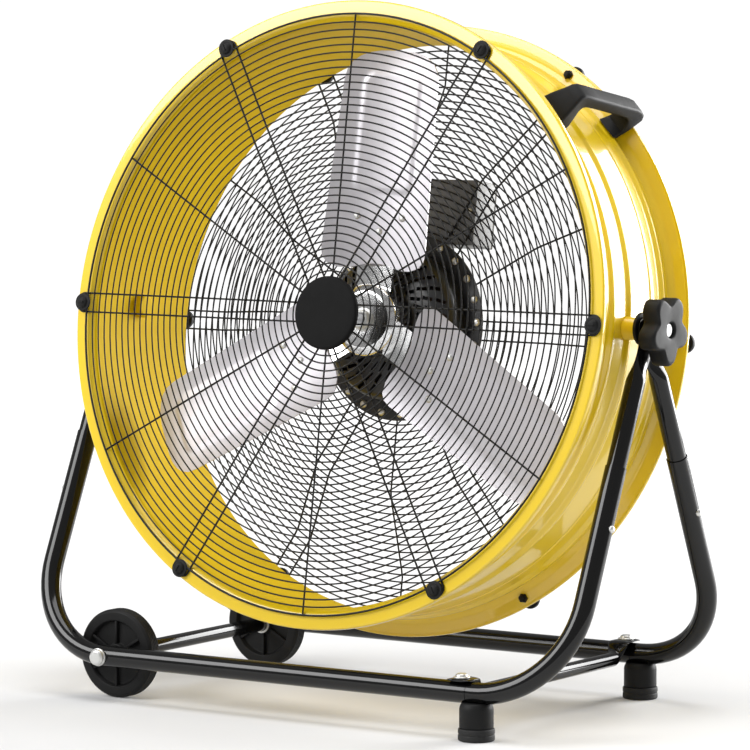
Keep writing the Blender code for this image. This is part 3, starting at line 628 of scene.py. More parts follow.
def wire_grille(sizes, first, spoke_start, pieces, dish):
    """Mesh of a grille whose first ring has the radius first, around the origin."""
    edge = GRILLE_RADIUS
    dish_start, dish_end, dish_depth = dish
    lines = line_mesh(radial_lines(spoke_start, sizes.hairpin_half, edge, pieces))
    rings = int((edge - 0.004 - first) / sizes.ring_pitch) + 1
    return grow(lines, "grille", "wire_coat", rings=rings, first_radius=first,
                pitch=sizes.ring_pitch, steps=sizes.grille_steps,
                wire_radius=sizes.wire_radius, spoke_radius=sizes.spoke_radius, edge_ring=edge,
                edge_wire_radius=sizes.edge_radius, sectors=6, spoke_side=1.0,
                dish_start=dish_start, dish_end=dish_end, dish_depth=dish_depth)


class FAN_OT_front_grille(bpy.types.Operator):
    """Weld the flat front grille of fine rings."""

    bl_idname = "drum_fan.front_grille"
    bl_label = "Front grille"

    def execute(self, context):
        mesh = wire_grille(context.scene.fan_sizes, 0.0440, 0.036, 16, (0.5, 1.0, 0.0))
        mesh.transform(Matrix.Translation((0.0, FRONT_FACE_Y - GRILLE_LIFT, 0.0)))
        add_piece("front_wire_grille", mesh, "wire_coat", "drum", ["front_grille"], sharp=80.0)
        return {"FINISHED"}


class FAN_OT_rear_grille(bpy.types.Operator):
    """Weld the dished rear grille and the ring that carries the motor."""

    bl_idname = "drum_fan.rear_grille"
    bl_label = "Rear grille"

    def execute(self, context):
        mesh = wire_grille(context.scene.fan_sizes, 0.1040, 0.086, 28, DISH)
        mesh.transform(Matrix.Translation((0.0, REAR_FACE_Y + 0.0022, 0.0)))
        add_piece("rear_wire_grille", mesh, "wire_coat", "drum", ["rear_grille"], sharp=80.0)
        return {"FINISHED"}


class FAN_OT_badge(bpy.types.Operator):
    """Turn the round badge at the middle of the front grille."""

    bl_idname = "drum_fan.badge"
    bl_label = "Grille badge"

    def execute(self, context):
        back = FRONT_FACE_Y - 0.0041
        profile = [(0.0, back - 0.0066), (0.0300, back - 0.0064), (0.0362, back - 0.0058),
                   (0.0380, back - 0.0042), (0.0384, back), (0.0360, back + 0.0012),
                   (0.0, back + 0.0012)]
        add_piece("badge_cap", turned(profile, 96, radius=0.0016), "badge_plastic", "drum",
                  ["grille_badge"])
        return {"FINISHED"}


def domed_screw(face, washer_radius, head_radius, washer=0.0018, head=0.0038, end=0.0):
    """Outline of a screw with a washer. The head looks towards -Y."""
    return [(0.0, face - washer - head), (head_radius * 0.55, face - washer - head * 0.93),
            (head_radius * 0.92, face - washer - head * 0.55), (head_radius, face - washer),
            (washer_radius * 0.94, face - washer), (washer_radius, face - washer * 0.6),
            (washer_radius, face), (0.0030, face), (0.0030, end), (0.0, end)]


class FAN_OT_rim_screws(bpy.types.Operator):
    """Set the six screws of the front grille and the six screws and nuts of the rear one."""

    bl_idname = "drum_fan.rim_screws"
    bl_label = "Rim screws"

    def execute(self, context):
        face = FRONT_FACE_Y - GRILLE_LIFT
        head = turned(domed_screw(face, 0.0096, 0.0066, end=FRONT_FACE_Y + 0.0080), 32,
                      radius=0.0010)
        slot_cut = block((-0.0036, face - 0.0066, -0.0006), (0.0036, face - 0.0050, 0.0006))
        seed = joined(moved(head, (BOLT_CIRCLE, 0.0, 0.0)), moved(slot_cut, (BOLT_CIRCLE, 0.0, 0.0)))
        front = round_copies(seed_mesh(seed), 6, 0.0, "moulded_plastic")
        nodes = [f"grille_bolt_{number}" for number in range(1, 7)]
        add_piece("front_grille_screws", front, "moulded_plastic", "drum", nodes)
        rear_face = REAR_FACE_Y + 0.0052
        head = turned([(0.0, rear_face + 0.0082), (0.0060, rear_face + 0.0080),
                       (0.0098, rear_face + 0.0062), (0.0105, rear_face + 0.0030),
                       (0.0105, rear_face), (0.0030, rear_face), (0.0030, REAR_FACE_Y - 0.0125),
                       (0.0, REAR_FACE_Y - 0.0125)], 32, radius=0.0012)
        nut = turned([(0.0032, REAR_FACE_Y - 0.0096), (0.0044, REAR_FACE_Y - 0.0096),
                      (0.0050, REAR_FACE_Y - 0.0090), (0.0050, REAR_FACE_Y - 0.0022),
                      (0.0032, REAR_FACE_Y - 0.0022)], 6, closed=True, radius=0.0004)
        seed = joined(moved(head, (BOLT_CIRCLE, 0.0, 0.0)), moved(nut, (BOLT_CIRCLE, 0.0, 0.0)))
        rear = round_copies(seed_mesh(seed), 6, 0.0, "moulded_plastic")
        add_piece("rear_grille_screws", rear, "moulded_plastic", "drum")
        return {"FINISHED"}


class FAN_OT_handle(bpy.types.Operator):
    """Mould the carrying handle on the drum's shoulder."""

    bl_idname = "drum_fan.handle"
    bl_label = "Carrying handle"

    def execute(self, context):
        outward = polar(1.0, HANDLE_ANGLE)
        sideways = polar(1.0, HANDLE_ANGLE - 90.0)
        sections = [((-0.0290, 0.3066), (-0.0500, 0.3066), 0.0190),
                    ((-0.0282, 0.3120), (-0.0490, 0.3130), 0.0185),
                    ((-0.0265, 0.3200), (-0.0450, 0.3240), 0.0160),
                    ((-0.0230, 0.3270), (-0.0390, 0.3370), 0.0122),
                    ((-0.0190, 0.3312), (-0.0360, 0.3440), 0.0106),
                    ((-0.0140, 0.3330), (-0.0300, 0.3468), 0.0103),
                    ((0.0000, 0.3335), (-0.0050, 0.3472), 0.0103),
                    ((0.0320, 0.3335), (0.0350, 0.3472), 0.0103),
                    ((0.0640, 0.3335), (0.0750, 0.3472), 0.0103),
                    ((0.0700, 0.3318), (0.0850, 0.3462), 0.0105),
                    ((0.0735, 0.3290), (0.0915, 0.3435), 0.0108),
                    ((0.0762, 0.3240), (0.0945, 0.3385), 0.0114),
                    ((0.0772, 0.3170), (0.0880, 0.3260), 0.0125),
                    ((0.0672, 0.3100), (0.0782, 0.3088), 0.0132)]
        rings = []
        for low, high, half in sections:
            corners = [(low, -half), (low, half), (high, half), (high, -half)]
            points = [(radius, y, shift) for (y, radius), shift in corners]
            for radius, y, shift in rounded(points, 0.0036, 4, closed=True):
                rings.append(outward * radius + sideways * shift + Vector((0.0, y, 0.0)))
        around = len(rings) // len(sections)
        rings = [rings[start:start + around] for start in range(0, len(rings), around)]
        add_piece("carry_grip", loft(rings), "moulded_plastic", "drum",
                  ["carry_handle"], sharp=45.0)
        return {"FINISHED"}


# Motor and switch box --------------------------------------------------------------------------
BOX_LOW = Vector((-0.010, 0.0630, 0.0895))
BOX_HIGH = Vector((0.074, 0.1010, 0.1585))
BOX_COVER_Y = 0.1040
SCREW_INSET = 0.008             # cover screws from the edges of the box
GLAND_X = 0.062
GLAND_Z = 0.102
DIAL_Z = 0.126
MOTOR_RADIUS = 0.080
MOTOR_FRONT_Y = 0.016
FLANGE_Y = 0.0550
MOTOR_REAR_Y = 0.098


def cut_away(body_bm, tool_mesh):
    """Cut a closed tool out of a closed shape and return the mesh that is left."""
    base = bpy.data.objects.new("base", seed_mesh(body_bm))
    tool = bpy.data.objects.new("tool", tool_mesh)
    for obj in (base, tool):
        bpy.context.scene.collection.objects.link(obj)
    modifier = base.modifiers.new("cut", "BOOLEAN")
    modifier.operation = "DIFFERENCE"
    modifier.solver = "EXACT"
    modifier.use_self = True
    modifier.object = tool
    graph = bpy.context.evaluated_depsgraph_get()
    mesh = bpy.data.meshes.new_from_object(base.evaluated_get(graph))
    bpy.data.objects.remove(base)
    bpy.data.objects.remove(tool)
    return mesh


class FAN_OT_motor(bpy.types.Operator):
    """Cast the motor's two bells, with slanted vents and a screwed flange."""

    bl_idname = "drum_fan.motor"
    bl_label = "Motor"

    def execute(self, context):
        skin = 0.003
        front = [(0.0075, MOTOR_FRONT_Y), (0.024, MOTOR_FRONT_Y), (0.060, MOTOR_FRONT_Y + 0.004),
                 (MOTOR_RADIUS - 0.004, MOTOR_FRONT_Y + 0.010), (MOTOR_RADIUS, MOTOR_FRONT_Y + 0.018),
                 (MOTOR_RADIUS, FLANGE_Y - 0.0003), (MOTOR_RADIUS - skin, FLANGE_Y - 0.0003),
                 (MOTOR_RADIUS - skin, MOTOR_FRONT_Y + 0.019), (0.060, MOTOR_FRONT_Y + 0.008),
                 (0.021, MOTOR_FRONT_Y + 0.006), (0.0075, MOTOR_FRONT_Y + 0.003)]
        bell = turned(front, 96, closed=True, radius=0.0035, corner_steps=4)
        cutters = []
        vent_rows = ((0.046, 0.0205, 0.0), (0.058, 0.0225, 5.0), (0.070, 0.0260, 10.0))
        for radius, along, shift in vent_rows:
            slot = block((-0.0062, -0.012, -0.0019), (0.0062, 0.012, 0.0019))
            slant = Matrix.Rotation(math.radians(38.0), 4, "Y")
            slot = moved(slot, (radius, along, 0.0), slant)
            cutters.append(round_copies(seed_mesh(slot), 30, shift, "motor_enamel"))
        bell_mesh = cut_away(bell, merged(*cutters))
        add_piece("motor_front_cover", bell_mesh, "motor_enamel", "drum",
                  ["motor_front_bell"], sharp=32.0)
        rear_radius = 0.078
        rear = [(rear_radius - skin, MOTOR_REAR_Y - 0.018), (rear_radius - skin, FLANGE_Y),
                (0.100, FLANGE_Y), (0.100, FLANGE_Y + 0.003), (rear_radius + 0.004, FLANGE_Y + 0.003),
                (rear_radius, FLANGE_Y + 0.006), (rear_radius, MOTOR_REAR_Y - 0.016),
                (0.060, MOTOR_REAR_Y - 0.004), (0.026, MOTOR_REAR_Y - 0.001), (0.024, MOTOR_REAR_Y),
                (0.0, MOTOR_REAR_Y), (0.0, MOTOR_REAR_Y - 0.003), (0.022, MOTOR_REAR_Y - 0.003),
                (0.058, MOTOR_REAR_Y - 0.008)]
        bell = turned(rear, 96, closed=True, radius=0.0018, corner_steps=3)
        slot = block((-0.0110, -0.020, -0.0017), (0.0110, 0.020, 0.0017))
        slot = moved(slot, (0.045, MOTOR_REAR_Y - 0.004, 0.0), Matrix.Rotation(0.35, 4, "Y"))
        bell_mesh = cut_away(bell, round_copies(seed_mesh(slot), 24, 0.0, "motor_enamel"))
        add_piece("motor_rear_cover", bell_mesh, "motor_enamel", "drum",
                  ["motor_rear_bell"], sharp=32.0)
        fin = block((0.0775, FLANGE_Y + 0.010, -0.0011), (0.0808, MOTOR_REAR_Y - 0.020, 0.0011),
                    0.0005)
        fins = round_copies(seed_mesh(fin), 48, 0.0, "motor_enamel")
        add_piece("motor_fins", fins, "motor_enamel", "drum")
        screw = turned([(0.0, FLANGE_Y - 0.0030), (0.0026, FLANGE_Y - 0.0028),
                        (0.0041, FLANGE_Y - 0.0012), (0.0041, FLANGE_Y + 0.0004),
                        (0.0, FLANGE_Y + 0.0004)], 20, radius=0.0006)
        screws = round_copies(seed_mesh(moved(screw, (0.093, 0.0, 0.0))), 24, 5.0, "zinc_plate")
        add_piece("motor_flange_screws", screws, "zinc_plate", "drum")
        return {"FINISHED"}


class FAN_OT_switch_box(bpy.types.Operator):
    """Fold the switch box, its cover, its neck and the cord gland."""

    bl_idname = "drum_fan.switch_box"
    bl_label = "Switch box"

    def execute(self, context):
        low, high = BOX_LOW, BOX_HIGH
        box = block(low, high, 0.0014, 3)
        add_piece("switch_box_body", box, "box_enamel", "drum", ["control_box"])
        cover = block((low.x, high.y + GAP, low.z), (high.x, BOX_COVER_Y, high.z), 0.0009, 2)
        parts = [cover]
        for x in (low.x + SCREW_INSET, high.x - SCREW_INSET):
            for z in (low.z + SCREW_INSET, high.z - SCREW_INSET):
                head = turned([(0.0, 0.1062), (0.0026, 0.1058), (0.0033, 0.1046), (0.0033, 0.1038),
                               (0.0, 0.1038)], 16, radius=0.0004)
                parts.append(moved(head, (x, 0.0, z)))
        add_piece("switch_box_cover", joined(*parts), "box_enamel", "drum", ["control_cover"])
        screw = turned([(0.0, -0.0022), (0.0020, -0.0019), (0.0032, -0.0006), (0.0032, 0.0004),
                        (0.0, 0.0004)], 20, radius=0.0004)
        screw = moved(screw, (high.x - 0.0070, low.y, DIAL_Z))
        add_piece("switch_box_screw", screw, "zinc_plate", "drum")
        neck = block((-0.006, 0.068, 0.0760), (0.030, 0.092, low.z - GAP), 0.0020, 3)
        add_piece("neck", neck, "motor_enamel", "drum", ["conduit_neck"])
        gland = [(0.0, 0.0), (0.0088, 0.0), (0.0088, 0.0055), (0.0064, 0.0070), (0.0064, 0.0090),
                 (0.0052, 0.0100), (0.0052, 0.0150), (0.0040, 0.0160), (0.0034, 0.0150),
                 (0.0034, 0.0110), (0.0, 0.0110)]
        body = turned(gland, 32, radius=0.0006)
        body = moved(body, (GLAND_X, BOX_COVER_Y + GAP, GLAND_Z))
        add_piece("gland_nut", body, "moulded_plastic", "drum", ["cord_gland"])
        return {"FINISHED"}


class FAN_OT_dial(bpy.types.Operator):
    """Turn the speed dial with its grip and pointer."""

    bl_idname = "drum_fan.dial"
    bl_label = "Speed dial"

    def execute(self, context):
        low, high = (PLACE.inverted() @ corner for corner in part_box("speed_dial"))
        x = (low.x + high.x) / 2
        profile = [(0.0, 0.1016), (0.0038, 0.1016), (0.0038, 0.1046), (0.0165, 0.1046),
                   (0.0165, 0.1066), (0.0150, 0.1080), (0.0112, 0.1095), (0.0102, 0.1200),
                   (0.0092, 0.1214), (0.0, 0.1215)]
        knob = turned(profile, 64, radius=0.0007)
        knurl = block((0.0098, 0.1105, -0.0007), (0.0110, 0.1195, 0.0007), 0.0003)
        knurls = round_copies(seed_mesh(knurl), 20, 0.0, "moulded_plastic")
        pointer = block((-0.0008, 0.1210, 0.0012), (0.0008, 0.1219, 0.0085), 0.0002)
        knob_mesh = merged(seed_mesh(joined(knob, pointer)), knurls)
        knob_mesh.transform(Matrix.Translation((x, 0.0, DIAL_Z)))
        add_piece("speed_knob", knob_mesh, "moulded_plastic", "dial", ["speed_dial"])
        return {"FINISHED"}


# Rotor -----------------------------------------------------------------------------------------
BLADE_START = 88.9
BLADE_PITCH = math.radians(-9.0)
BLADE_CAMBER = 0.007
BLADE_Y = -0.014
BLADE_SHEET = 0.0016
HUB_FRONT_Y = -0.0200
HUB_REAR_Y = 0.0125
# (radius, half chord) down one edge of a blade
OUTLINE = ((0.0600, 0.0220), (0.0630, 0.0330), (0.0680, 0.0420), (0.0780, 0.0530),
           (0.0860, 0.0580), (0.0940, 0.0595), (0.1800, 0.0565), (0.2580, 0.0535),
           (0.2680, 0.0515), (0.2750, 0.0465), (0.2800, 0.0390), (0.2832, 0.0290), (0.2845, 0.0180))


def blade_point(radius, shift, lift):
    """A point of the first blade: shift is along its chord and lift off its surface."""
    turn = math.radians(BLADE_START)
    ahead = Vector((-math.sin(turn), 0.0, math.cos(turn)))
    spine = Vector((math.cos(turn), 0.0, math.sin(turn)))
    chord = ahead * math.cos(BLADE_PITCH) + Vector((0.0, math.sin(BLADE_PITCH), 0.0))
    camber = BLADE_CAMBER * (1.0 - (shift / 0.057) ** 2)
    reach = math.sqrt(radius ** 2 - (shift * math.cos(BLADE_PITCH)) ** 2)
    return spine * reach + chord * shift + Vector((0.0, BLADE_Y + camber + lift, 0.0))


def half_chord(radius):
    """Half the blade's width at a radius."""
    for (near, narrow), (far, wide) in zip(OUTLINE, OUTLINE[1:]):
        if radius <= far:
            share = (radius - near) / (far - near)
            return narrow + share * (wide - narrow)
    return OUTLINE[-1][1]


def panel_rise(radius, shift, height):
    """Height of the raised panel with soft edges and rounded corners."""
    middle, half_long, half_wide, corner = 0.1990, 0.0640, 0.0345, 0.0140
    out = max(abs(radius - middle) - half_long + corner, 0.0)
    side = max(abs(shift) - half_wide + corner, 0.0)
    depth = corner - math.hypot(out, side)
    share = min(max(depth / 0.0042, 0.0), 1.0)
    return -height * eased(share)


def blade_sheet(height, columns=44):
    """One pressed blade, with a ring of points every 2.2 mm or so of its length."""
    radii = set()
    for (near, _), (far, _) in zip(OUTLINE, OUTLINE[1:]):
        count = max(1, round((far - near) / 0.0022))
        radii |= {round(near + (far - near) * step / count, 6) for step in range(count + 1)}
    rings = []
    for radius in sorted(radii):
        half = half_chord(radius)
        shifts = [half * (2.0 * step / columns - 1.0) for step in range(columns + 1)]
        rises = [panel_rise(radius, shift, height) for shift in shifts]
        front = [blade_point(radius, shift, rise - BLADE_SHEET / 2)
                 for shift, rise in zip(shifts, rises)]
        back = [blade_point(radius, shift, rise + BLADE_SHEET / 2)
                for shift, rise in zip(shifts, rises)]
        rings.append(front + back[::-1])
    return loft(rings)


class FAN_OT_blades(bpy.types.Operator):
    """Press the three blades, each with a raised panel and rivets at its root."""

    bl_idname = "drum_fan.blades"
    bl_label = "Blades"

    def execute(self, context):
        height = context.scene.fan_sizes.panel_height
        for number in range(3):
            sheet = blade_sheet(height)
            bmesh.ops.transform(sheet, verts=sheet.verts,
                                matrix=Matrix.Rotation(math.radians(-120.0 * number), 4, "Y"))
            add_piece(f"blade_sheet_{number + 1}", sheet, "blade_sheet", "rotor",
                      [f"blade_{number + 1}"], sharp=42.0)
        parts = []
        for radius, shift in ((0.0940, 0.0), (0.1120, 0.0260), (0.1120, -0.0260)):
            top = blade_point(radius, shift, 0.0)
            dome = [(0.0, -0.0030), (0.0020, -0.0028), (0.0036, -0.0016), (0.0040, -0.0006),
                    (0.0040, 0.0016), (0.0030, 0.0028), (0.0, 0.0030)]
            parts.append(moved(turned(dome, 20, radius=0.0004), top))
        rivets = round_copies(seed_mesh(joined(*parts)), 3, 0.0, "zinc_plate")
        add_piece("blade_rivets", rivets, "zinc_plate", "rotor")
        return {"FINISHED"}


class FAN_OT_hub(bpy.types.Operator):
    """Turn the polished hub, its three arms and the nut."""

    bl_idname = "drum_fan.hub"
    bl_label = "Hub"

    def execute(self, context):
        front, rear, bore = HUB_FRONT_Y, HUB_REAR_Y, STEEL_BORE
        body = turned([(bore, front), (0.0300, front), (0.0378, front + 0.004),
                       (0.0378, rear - 0.003), (0.0360, rear), (bore, rear)], 96, closed=True,
                      radius=0.0018, corner_steps=5)
        arms = []
        stations = ((0.030, 0.020), (0.060, 0.0205), (0.085, 0.0195), (0.104, 0.0165),
                    (0.113, 0.0120), (0.117, 0.0060))
        for number in range(3):
            rings = []
            for radius, half in stations:
                shifts = [half * (step / 4.0 - 1.0) for step in range(9)]
                low = [blade_point(radius, shift, 0.0009) for shift in shifts]
                high = [blade_point(radius, shift, 0.0040) for shift in shifts]
                rings.append(low + high[::-1])
            arm = loft(rings)
            arms.append(moved(arm, turn=Matrix.Rotation(math.radians(-120.0 * number), 4, "Y")))
        add_piece("hub_spider", joined(body, *arms), "polished_hub", "rotor",
                  ["blade_hub"], sharp=38.0)
        nut = turned([(bore, front - 0.0066), (0.0088, front - 0.0066), (0.0100, front - 0.0056),
                      (0.0100, front - 0.0010), (0.0125, front - 0.0008), (0.0125, front - GAP),
                      (bore, front - GAP)], 24, closed=True, radius=0.0004)
        add_piece("hub_lock_nut", nut, "zinc_plate", "rotor", ["hub_nut"])
        return {"FINISHED"}


# Stand -----------------------------------------------------------------------------------------
def on_frame(face, x, run):
    """A point of a leaning leg frame: face -1 is the front frame and +1 the rear one."""
    return Vector((x, face * run * math.sin(SPLAY), PIVOT.z - run * math.cos(SPLAY)))


def tube_path(face, side, end_x, steps=18):
    """Middle line of a lower tube: down the leg, round the bend, along the floor."""
    path = [on_frame(face, side * LEG_X, SEAM_RUN)]
    centre_x = side * (LEG_X - BEND_RADIUS)
    centre_run = BOTTOM_RUN - BEND_RADIUS
    for step in range(steps + 1):
        turn = math.pi / 2 * step / steps
        x = centre_x + side * BEND_RADIUS * math.cos(turn)
        path.append(on_frame(face, x, centre_run + BEND_RADIUS * math.sin(turn)))
    path.append(on_frame(face, end_x, BOTTOM_RUN))
    return path


class FAN_OT_leg_tubes(bpy.types.Operator):
    """Bend the four lower tubes."""

    bl_idname = "drum_fan.leg_tubes"
    bl_label = "Lower tubes"

    def execute(self, context):
        for face, word in ENDS:
            for side, hand in SIDES:
                end_x = BOTTOM_SEAM_X - GAP if side < 0 else BOTTOM_SEAM_X + GAP
                tube = grow(line_mesh([tube_path(face, side, end_x)]), "tube", "tube_enamel",
                            radius=TUBE_RADIUS, sides=40)
                add_piece(f"frame_tube_{word}_{hand}", tube, "tube_enamel", "stand",
                          [f"lower_tube_{word}_{hand}"], place=None, sharp=40.0)
        return {"FINISHED"}


class FAN_OT_leg_tops(bpy.types.Operator):
    """Press the leg tops flat round the pivot and screw them into the lower tubes."""

    bl_idname = "drum_fan.leg_tops"
    bl_label = "Leg tops"

    def execute(self, context):
        flat = [(-0.0128, 0.20), (-0.0122, 0.40), (-0.0108, 0.62), (-0.0085, 0.79), (-0.0050, 0.93),
                (0.0, 1.0), (0.0320, 1.0)]
        for face, word in ENDS:
            down = (on_frame(face, 0.0, 1.0) - on_frame(face, 0.0, 0.0)).normalized()
            across = down.cross(ACROSS)
            for side, hand in SIDES:
                shift = -face * side * (LUG_HALF + GAP)
                rings = [oval(on_frame(face, side * LEG_X + shift, run), ACROSS, across, LUG_HALF,
                              0.013 * share, 40) for run, share in flat]
                for step in range(1, 8):
                    share = step / 7.0
                    ease = eased(share)
                    run = 0.032 + 0.026 * share
                    centre = on_frame(face, side * LEG_X + shift * (1.0 - ease), run)
                    thin = LUG_HALF + (UPPER_RADIUS - LUG_HALF) * ease
                    wide = 0.013 + (UPPER_RADIUS - 0.013) * ease
                    rings.append(oval(centre, ACROSS, across, thin, wide, 40))
                for run, radius in ((SEAM_RUN - 0.0015, UPPER_RADIUS), (SEAM_RUN + 0.002, 0.0096)):
                    rings.append(oval(on_frame(face, side * LEG_X, run), ACROSS, across, radius,
                                      radius, 40))
                leg = loft(rings)
                add_piece(f"leg_top_{word}_{hand}", leg, "tube_enamel", "stand",
                          [f"upper_leg_{word}_{hand}"], place=None, sharp=50.0)
        parts = []
        for face in (-1, 1):
            for side in (-1, 1):
                head = turned([(0.0, 0.0030), (0.0022, 0.0027), (0.0038, 0.0010),
                               (0.0041, -0.0012), (0.0, -0.0012)], 24, "X", radius=0.0005)
                if side < 0:
                    head = moved(head, turn=Matrix.Rotation(math.pi, 4, "Z"))
                parts.append(moved(head, on_frame(face, side * (LEG_X + TUBE_RADIUS), 0.212)))
        add_piece("leg_screws", joined(*parts), "zinc_plate", "stand", place=None)
        return {"FINISHED"}


class FAN_OT_cross_bar(bpy.types.Operator):
    """Press the cross bar's ends over the floor tubes and bolt them down."""

    bl_idname = "drum_fan.cross_bar"
    bl_label = "Cross bar"

    def execute(self, context):
        bar_z = 0.043
        plate_z = BOTTOM_Z + TUBE_RADIUS + GAP + 0.0015
        ends = []
        for step in range(9):
            share = step / 8.0
            ease = eased(share)
            ends.append((0.134 + 0.015 * share, bar_z + (plate_z - bar_z) * ease,
                         0.0075 + 0.0053 * ease, 0.0075 - 0.0060 * ease))
        ends += [(0.1690, plate_z, 0.0128, 0.0015), (0.1703, plate_z, 0.0122, 0.0015),
                 (0.1711, plate_z, 0.0110, 0.0014), (0.1715, plate_z, 0.0094, 0.0012)]
        ordered = [(-y, z, wide, high) for y, z, wide, high in ends[::-1]] + ends
        rings = [oval(Vector((CROSS_BAR_X, y, z)), ACROSS, UP, wide, high, 36)
                 for y, z, wide, high in ordered]
        add_piece("cross_tube", loft(rings), "tube_enamel", "stand", ["cross_bar"],
                  place=None, sharp=50.0)
        top = BOTTOM_Z + TUBE_RADIUS + 0.003 + 2 * GAP
        profile = [(0.0, top + 0.0046), (0.0040, top + 0.0044), (0.0060, top + 0.0032),
                   (0.0064, top + 0.0012), (0.0084, top + 0.0010), (0.0086, top), (0.0030, top),
                   (0.0030, BOTTOM_Z), (0.0, BOTTOM_Z)]
        for face, word in ENDS:
            bolt = moved(turned(profile, 32, "Z"), (CROSS_BAR_X, face * BOTTOM_Y, 0.0))
            add_piece(f"saddle_screw_{word}", bolt, "zinc_plate", "stand",
                      [f"saddle_bolt_{word}"], place=None)
        return {"FINISHED"}


class FAN_OT_feet(bpy.types.Operator):
    """Mould the two feet and their soft caps."""

    bl_idname = "drum_fan.feet"
    bl_label = "Feet"

    def execute(self, context):
        top = BOTTOM_Z - TUBE_RADIUS + 0.0020
        low = CAP_TOP + GAP
        body = [(0.0, top), (0.0150, top), (0.0168, top - 0.0040), (FOOT_RADIUS, top - 0.0060),
                (FOOT_RADIUS, low), (0.0, low)]
        cap = [(0.0, CAP_TOP), (0.0178, CAP_TOP), (0.0185, 0.0112), (0.0185, 0.0075),
               (0.0180, 0.0070), (0.0180, 0.0060), (0.0185, 0.0055), (0.0185, 0.0012),
               (0.0175, 0.0), (0.0, 0.0)]
        for face, word in ENDS:
            place = (FOOT_X, face * BOTTOM_Y, 0.0)
            add_piece(f"foot_post_{word}", moved(turned(body, 64, "Z", radius=0.0012), place),
                      "moulded_plastic", "stand", [f"foot_{word}"], place=None)
            add_piece(f"foot_pad_{word}", moved(turned(cap, 64, "Z"), place), "black_rubber",
                      "stand", [f"foot_cap_{word}"], place=None)
        return {"FINISHED"}


class FAN_OT_axle(bpy.types.Operator):
    """Fit the wheel axle with its head, nut, washers and spacer tube."""

    bl_idname = "drum_fan.axle"
    bl_label = "Wheel axle"

    def execute(self, context):
        place = (WHEEL.x, 0.0, WHEEL.z)
        near = BOTTOM_Y + TUBE_RADIUS + GAP
        far = 0.1796
        head = [(0.0, -far), (0.0062, -far), (0.0083, -far + 0.0016), (0.0086, -near - 0.0018),
                (0.0094, -near - 0.0016), (0.0096, -near), (0.0040, -near), (0.0040, far - 0.0006),
                (0.0, far - 0.0006)]
        add_piece("axle_bolt", moved(turned(head, 36), place), "zinc_plate", "stand",
                  ["wheel_axle"], place=None)
        nut = [(0.0043, near), (0.0096, near), (0.0094, near + 0.0016), (0.0074, near + 0.0018),
               (0.0070, far - 0.0010), (0.0058, far), (0.0043, far)]
        add_piece("axle_lock_nut", moved(turned(nut, 36, closed=True), place), "zinc_plate",
                  "stand", ["axle_nut"], place=None)
        reach = abs(WHEEL.y) - 0.0096
        tube = [(0.0043, -reach), (0.0077, -reach), (0.0077, reach), (0.0043, reach)]
        add_piece("axle_tube", moved(turned(tube, 40, closed=True), place), "tube_enamel",
                  "stand", ["axle_spacer"], place=None)
        washer = [(0.0078, reach - 0.0022), (0.0100, reach - 0.0022), (0.0102, reach - 0.0010),
                  (0.0100, reach - 0.0004), (0.0078, reach - 0.0004)]
        parts = []
        for turn in (None, Matrix.Rotation(math.pi, 4, "Z")):
            parts.append(moved(turned(washer, 36, closed=True, radius=0.0003), place, turn))
        add_piece("axle_washers", joined(*parts), "zinc_plate", "stand", place=None)
        return {"FINISHED"}


class FAN_OT_wheels(bpy.types.Operator):
    """Mould the two wheels with a ribbed web and a grooved tread."""

    bl_idname = "drum_fan.wheels"
    bl_label = "Wheels"

    def execute(self, context):
        ribs = context.scene.fan_sizes.wheel_ribs
        half = 0.009
        radius = 0.047
        outline = [(0.0044, -half), (0.0100, -half), (0.0115, -half + 0.0045),
                   (0.0330, -half + 0.0050), (0.0352, -half), (radius - 0.0030, -half)]
        grooves = 5
        for step in range(grooves):
            along = -half + 0.0026 + (2 * half - 0.0052) * (step + 0.5) / grooves
            outline += [(radius, along - 0.0011), (radius, along + 0.0011),
                        (radius - 0.0015, along + 0.0014)]
        outline = outline[:-1] + [(radius - 0.0030, half), (0.0352, half),
                                  (0.0330, half - 0.0050), (0.0115, half - 0.0045),
                                  (0.0100, half), (0.0044, half)]
        rib = joined(block((0.0100, -half + 0.0008, -0.0013), (0.0345, half - 0.0008, 0.0013), 0.0004))
        for face, word in ENDS:
            ribs_mesh = round_copies(seed_mesh(rib.copy()), ribs, 30.0, "moulded_plastic")
            tyre = seed_mesh(turned(outline, 72, closed=True, radius=0.0008))
            wheel = merged(tyre, ribs_mesh)
            wheel.transform(Matrix.Translation((WHEEL.x, face * WHEEL.y, WHEEL.z)))
            add_piece(f"wheel_disc_{word}", wheel, "moulded_plastic", f"wheel_{word}",
                      [f"wheel_{word}"], place=None)
        rib.free()
        return {"FINISHED"}


# Pivots and knobs ------------------------------------------------------------------------------
def mirrored(bm, side):
    if side < 0:
        bmesh.ops.scale(bm, vec=(-1.0, 1.0, 1.0), verts=bm.verts)
    return bm


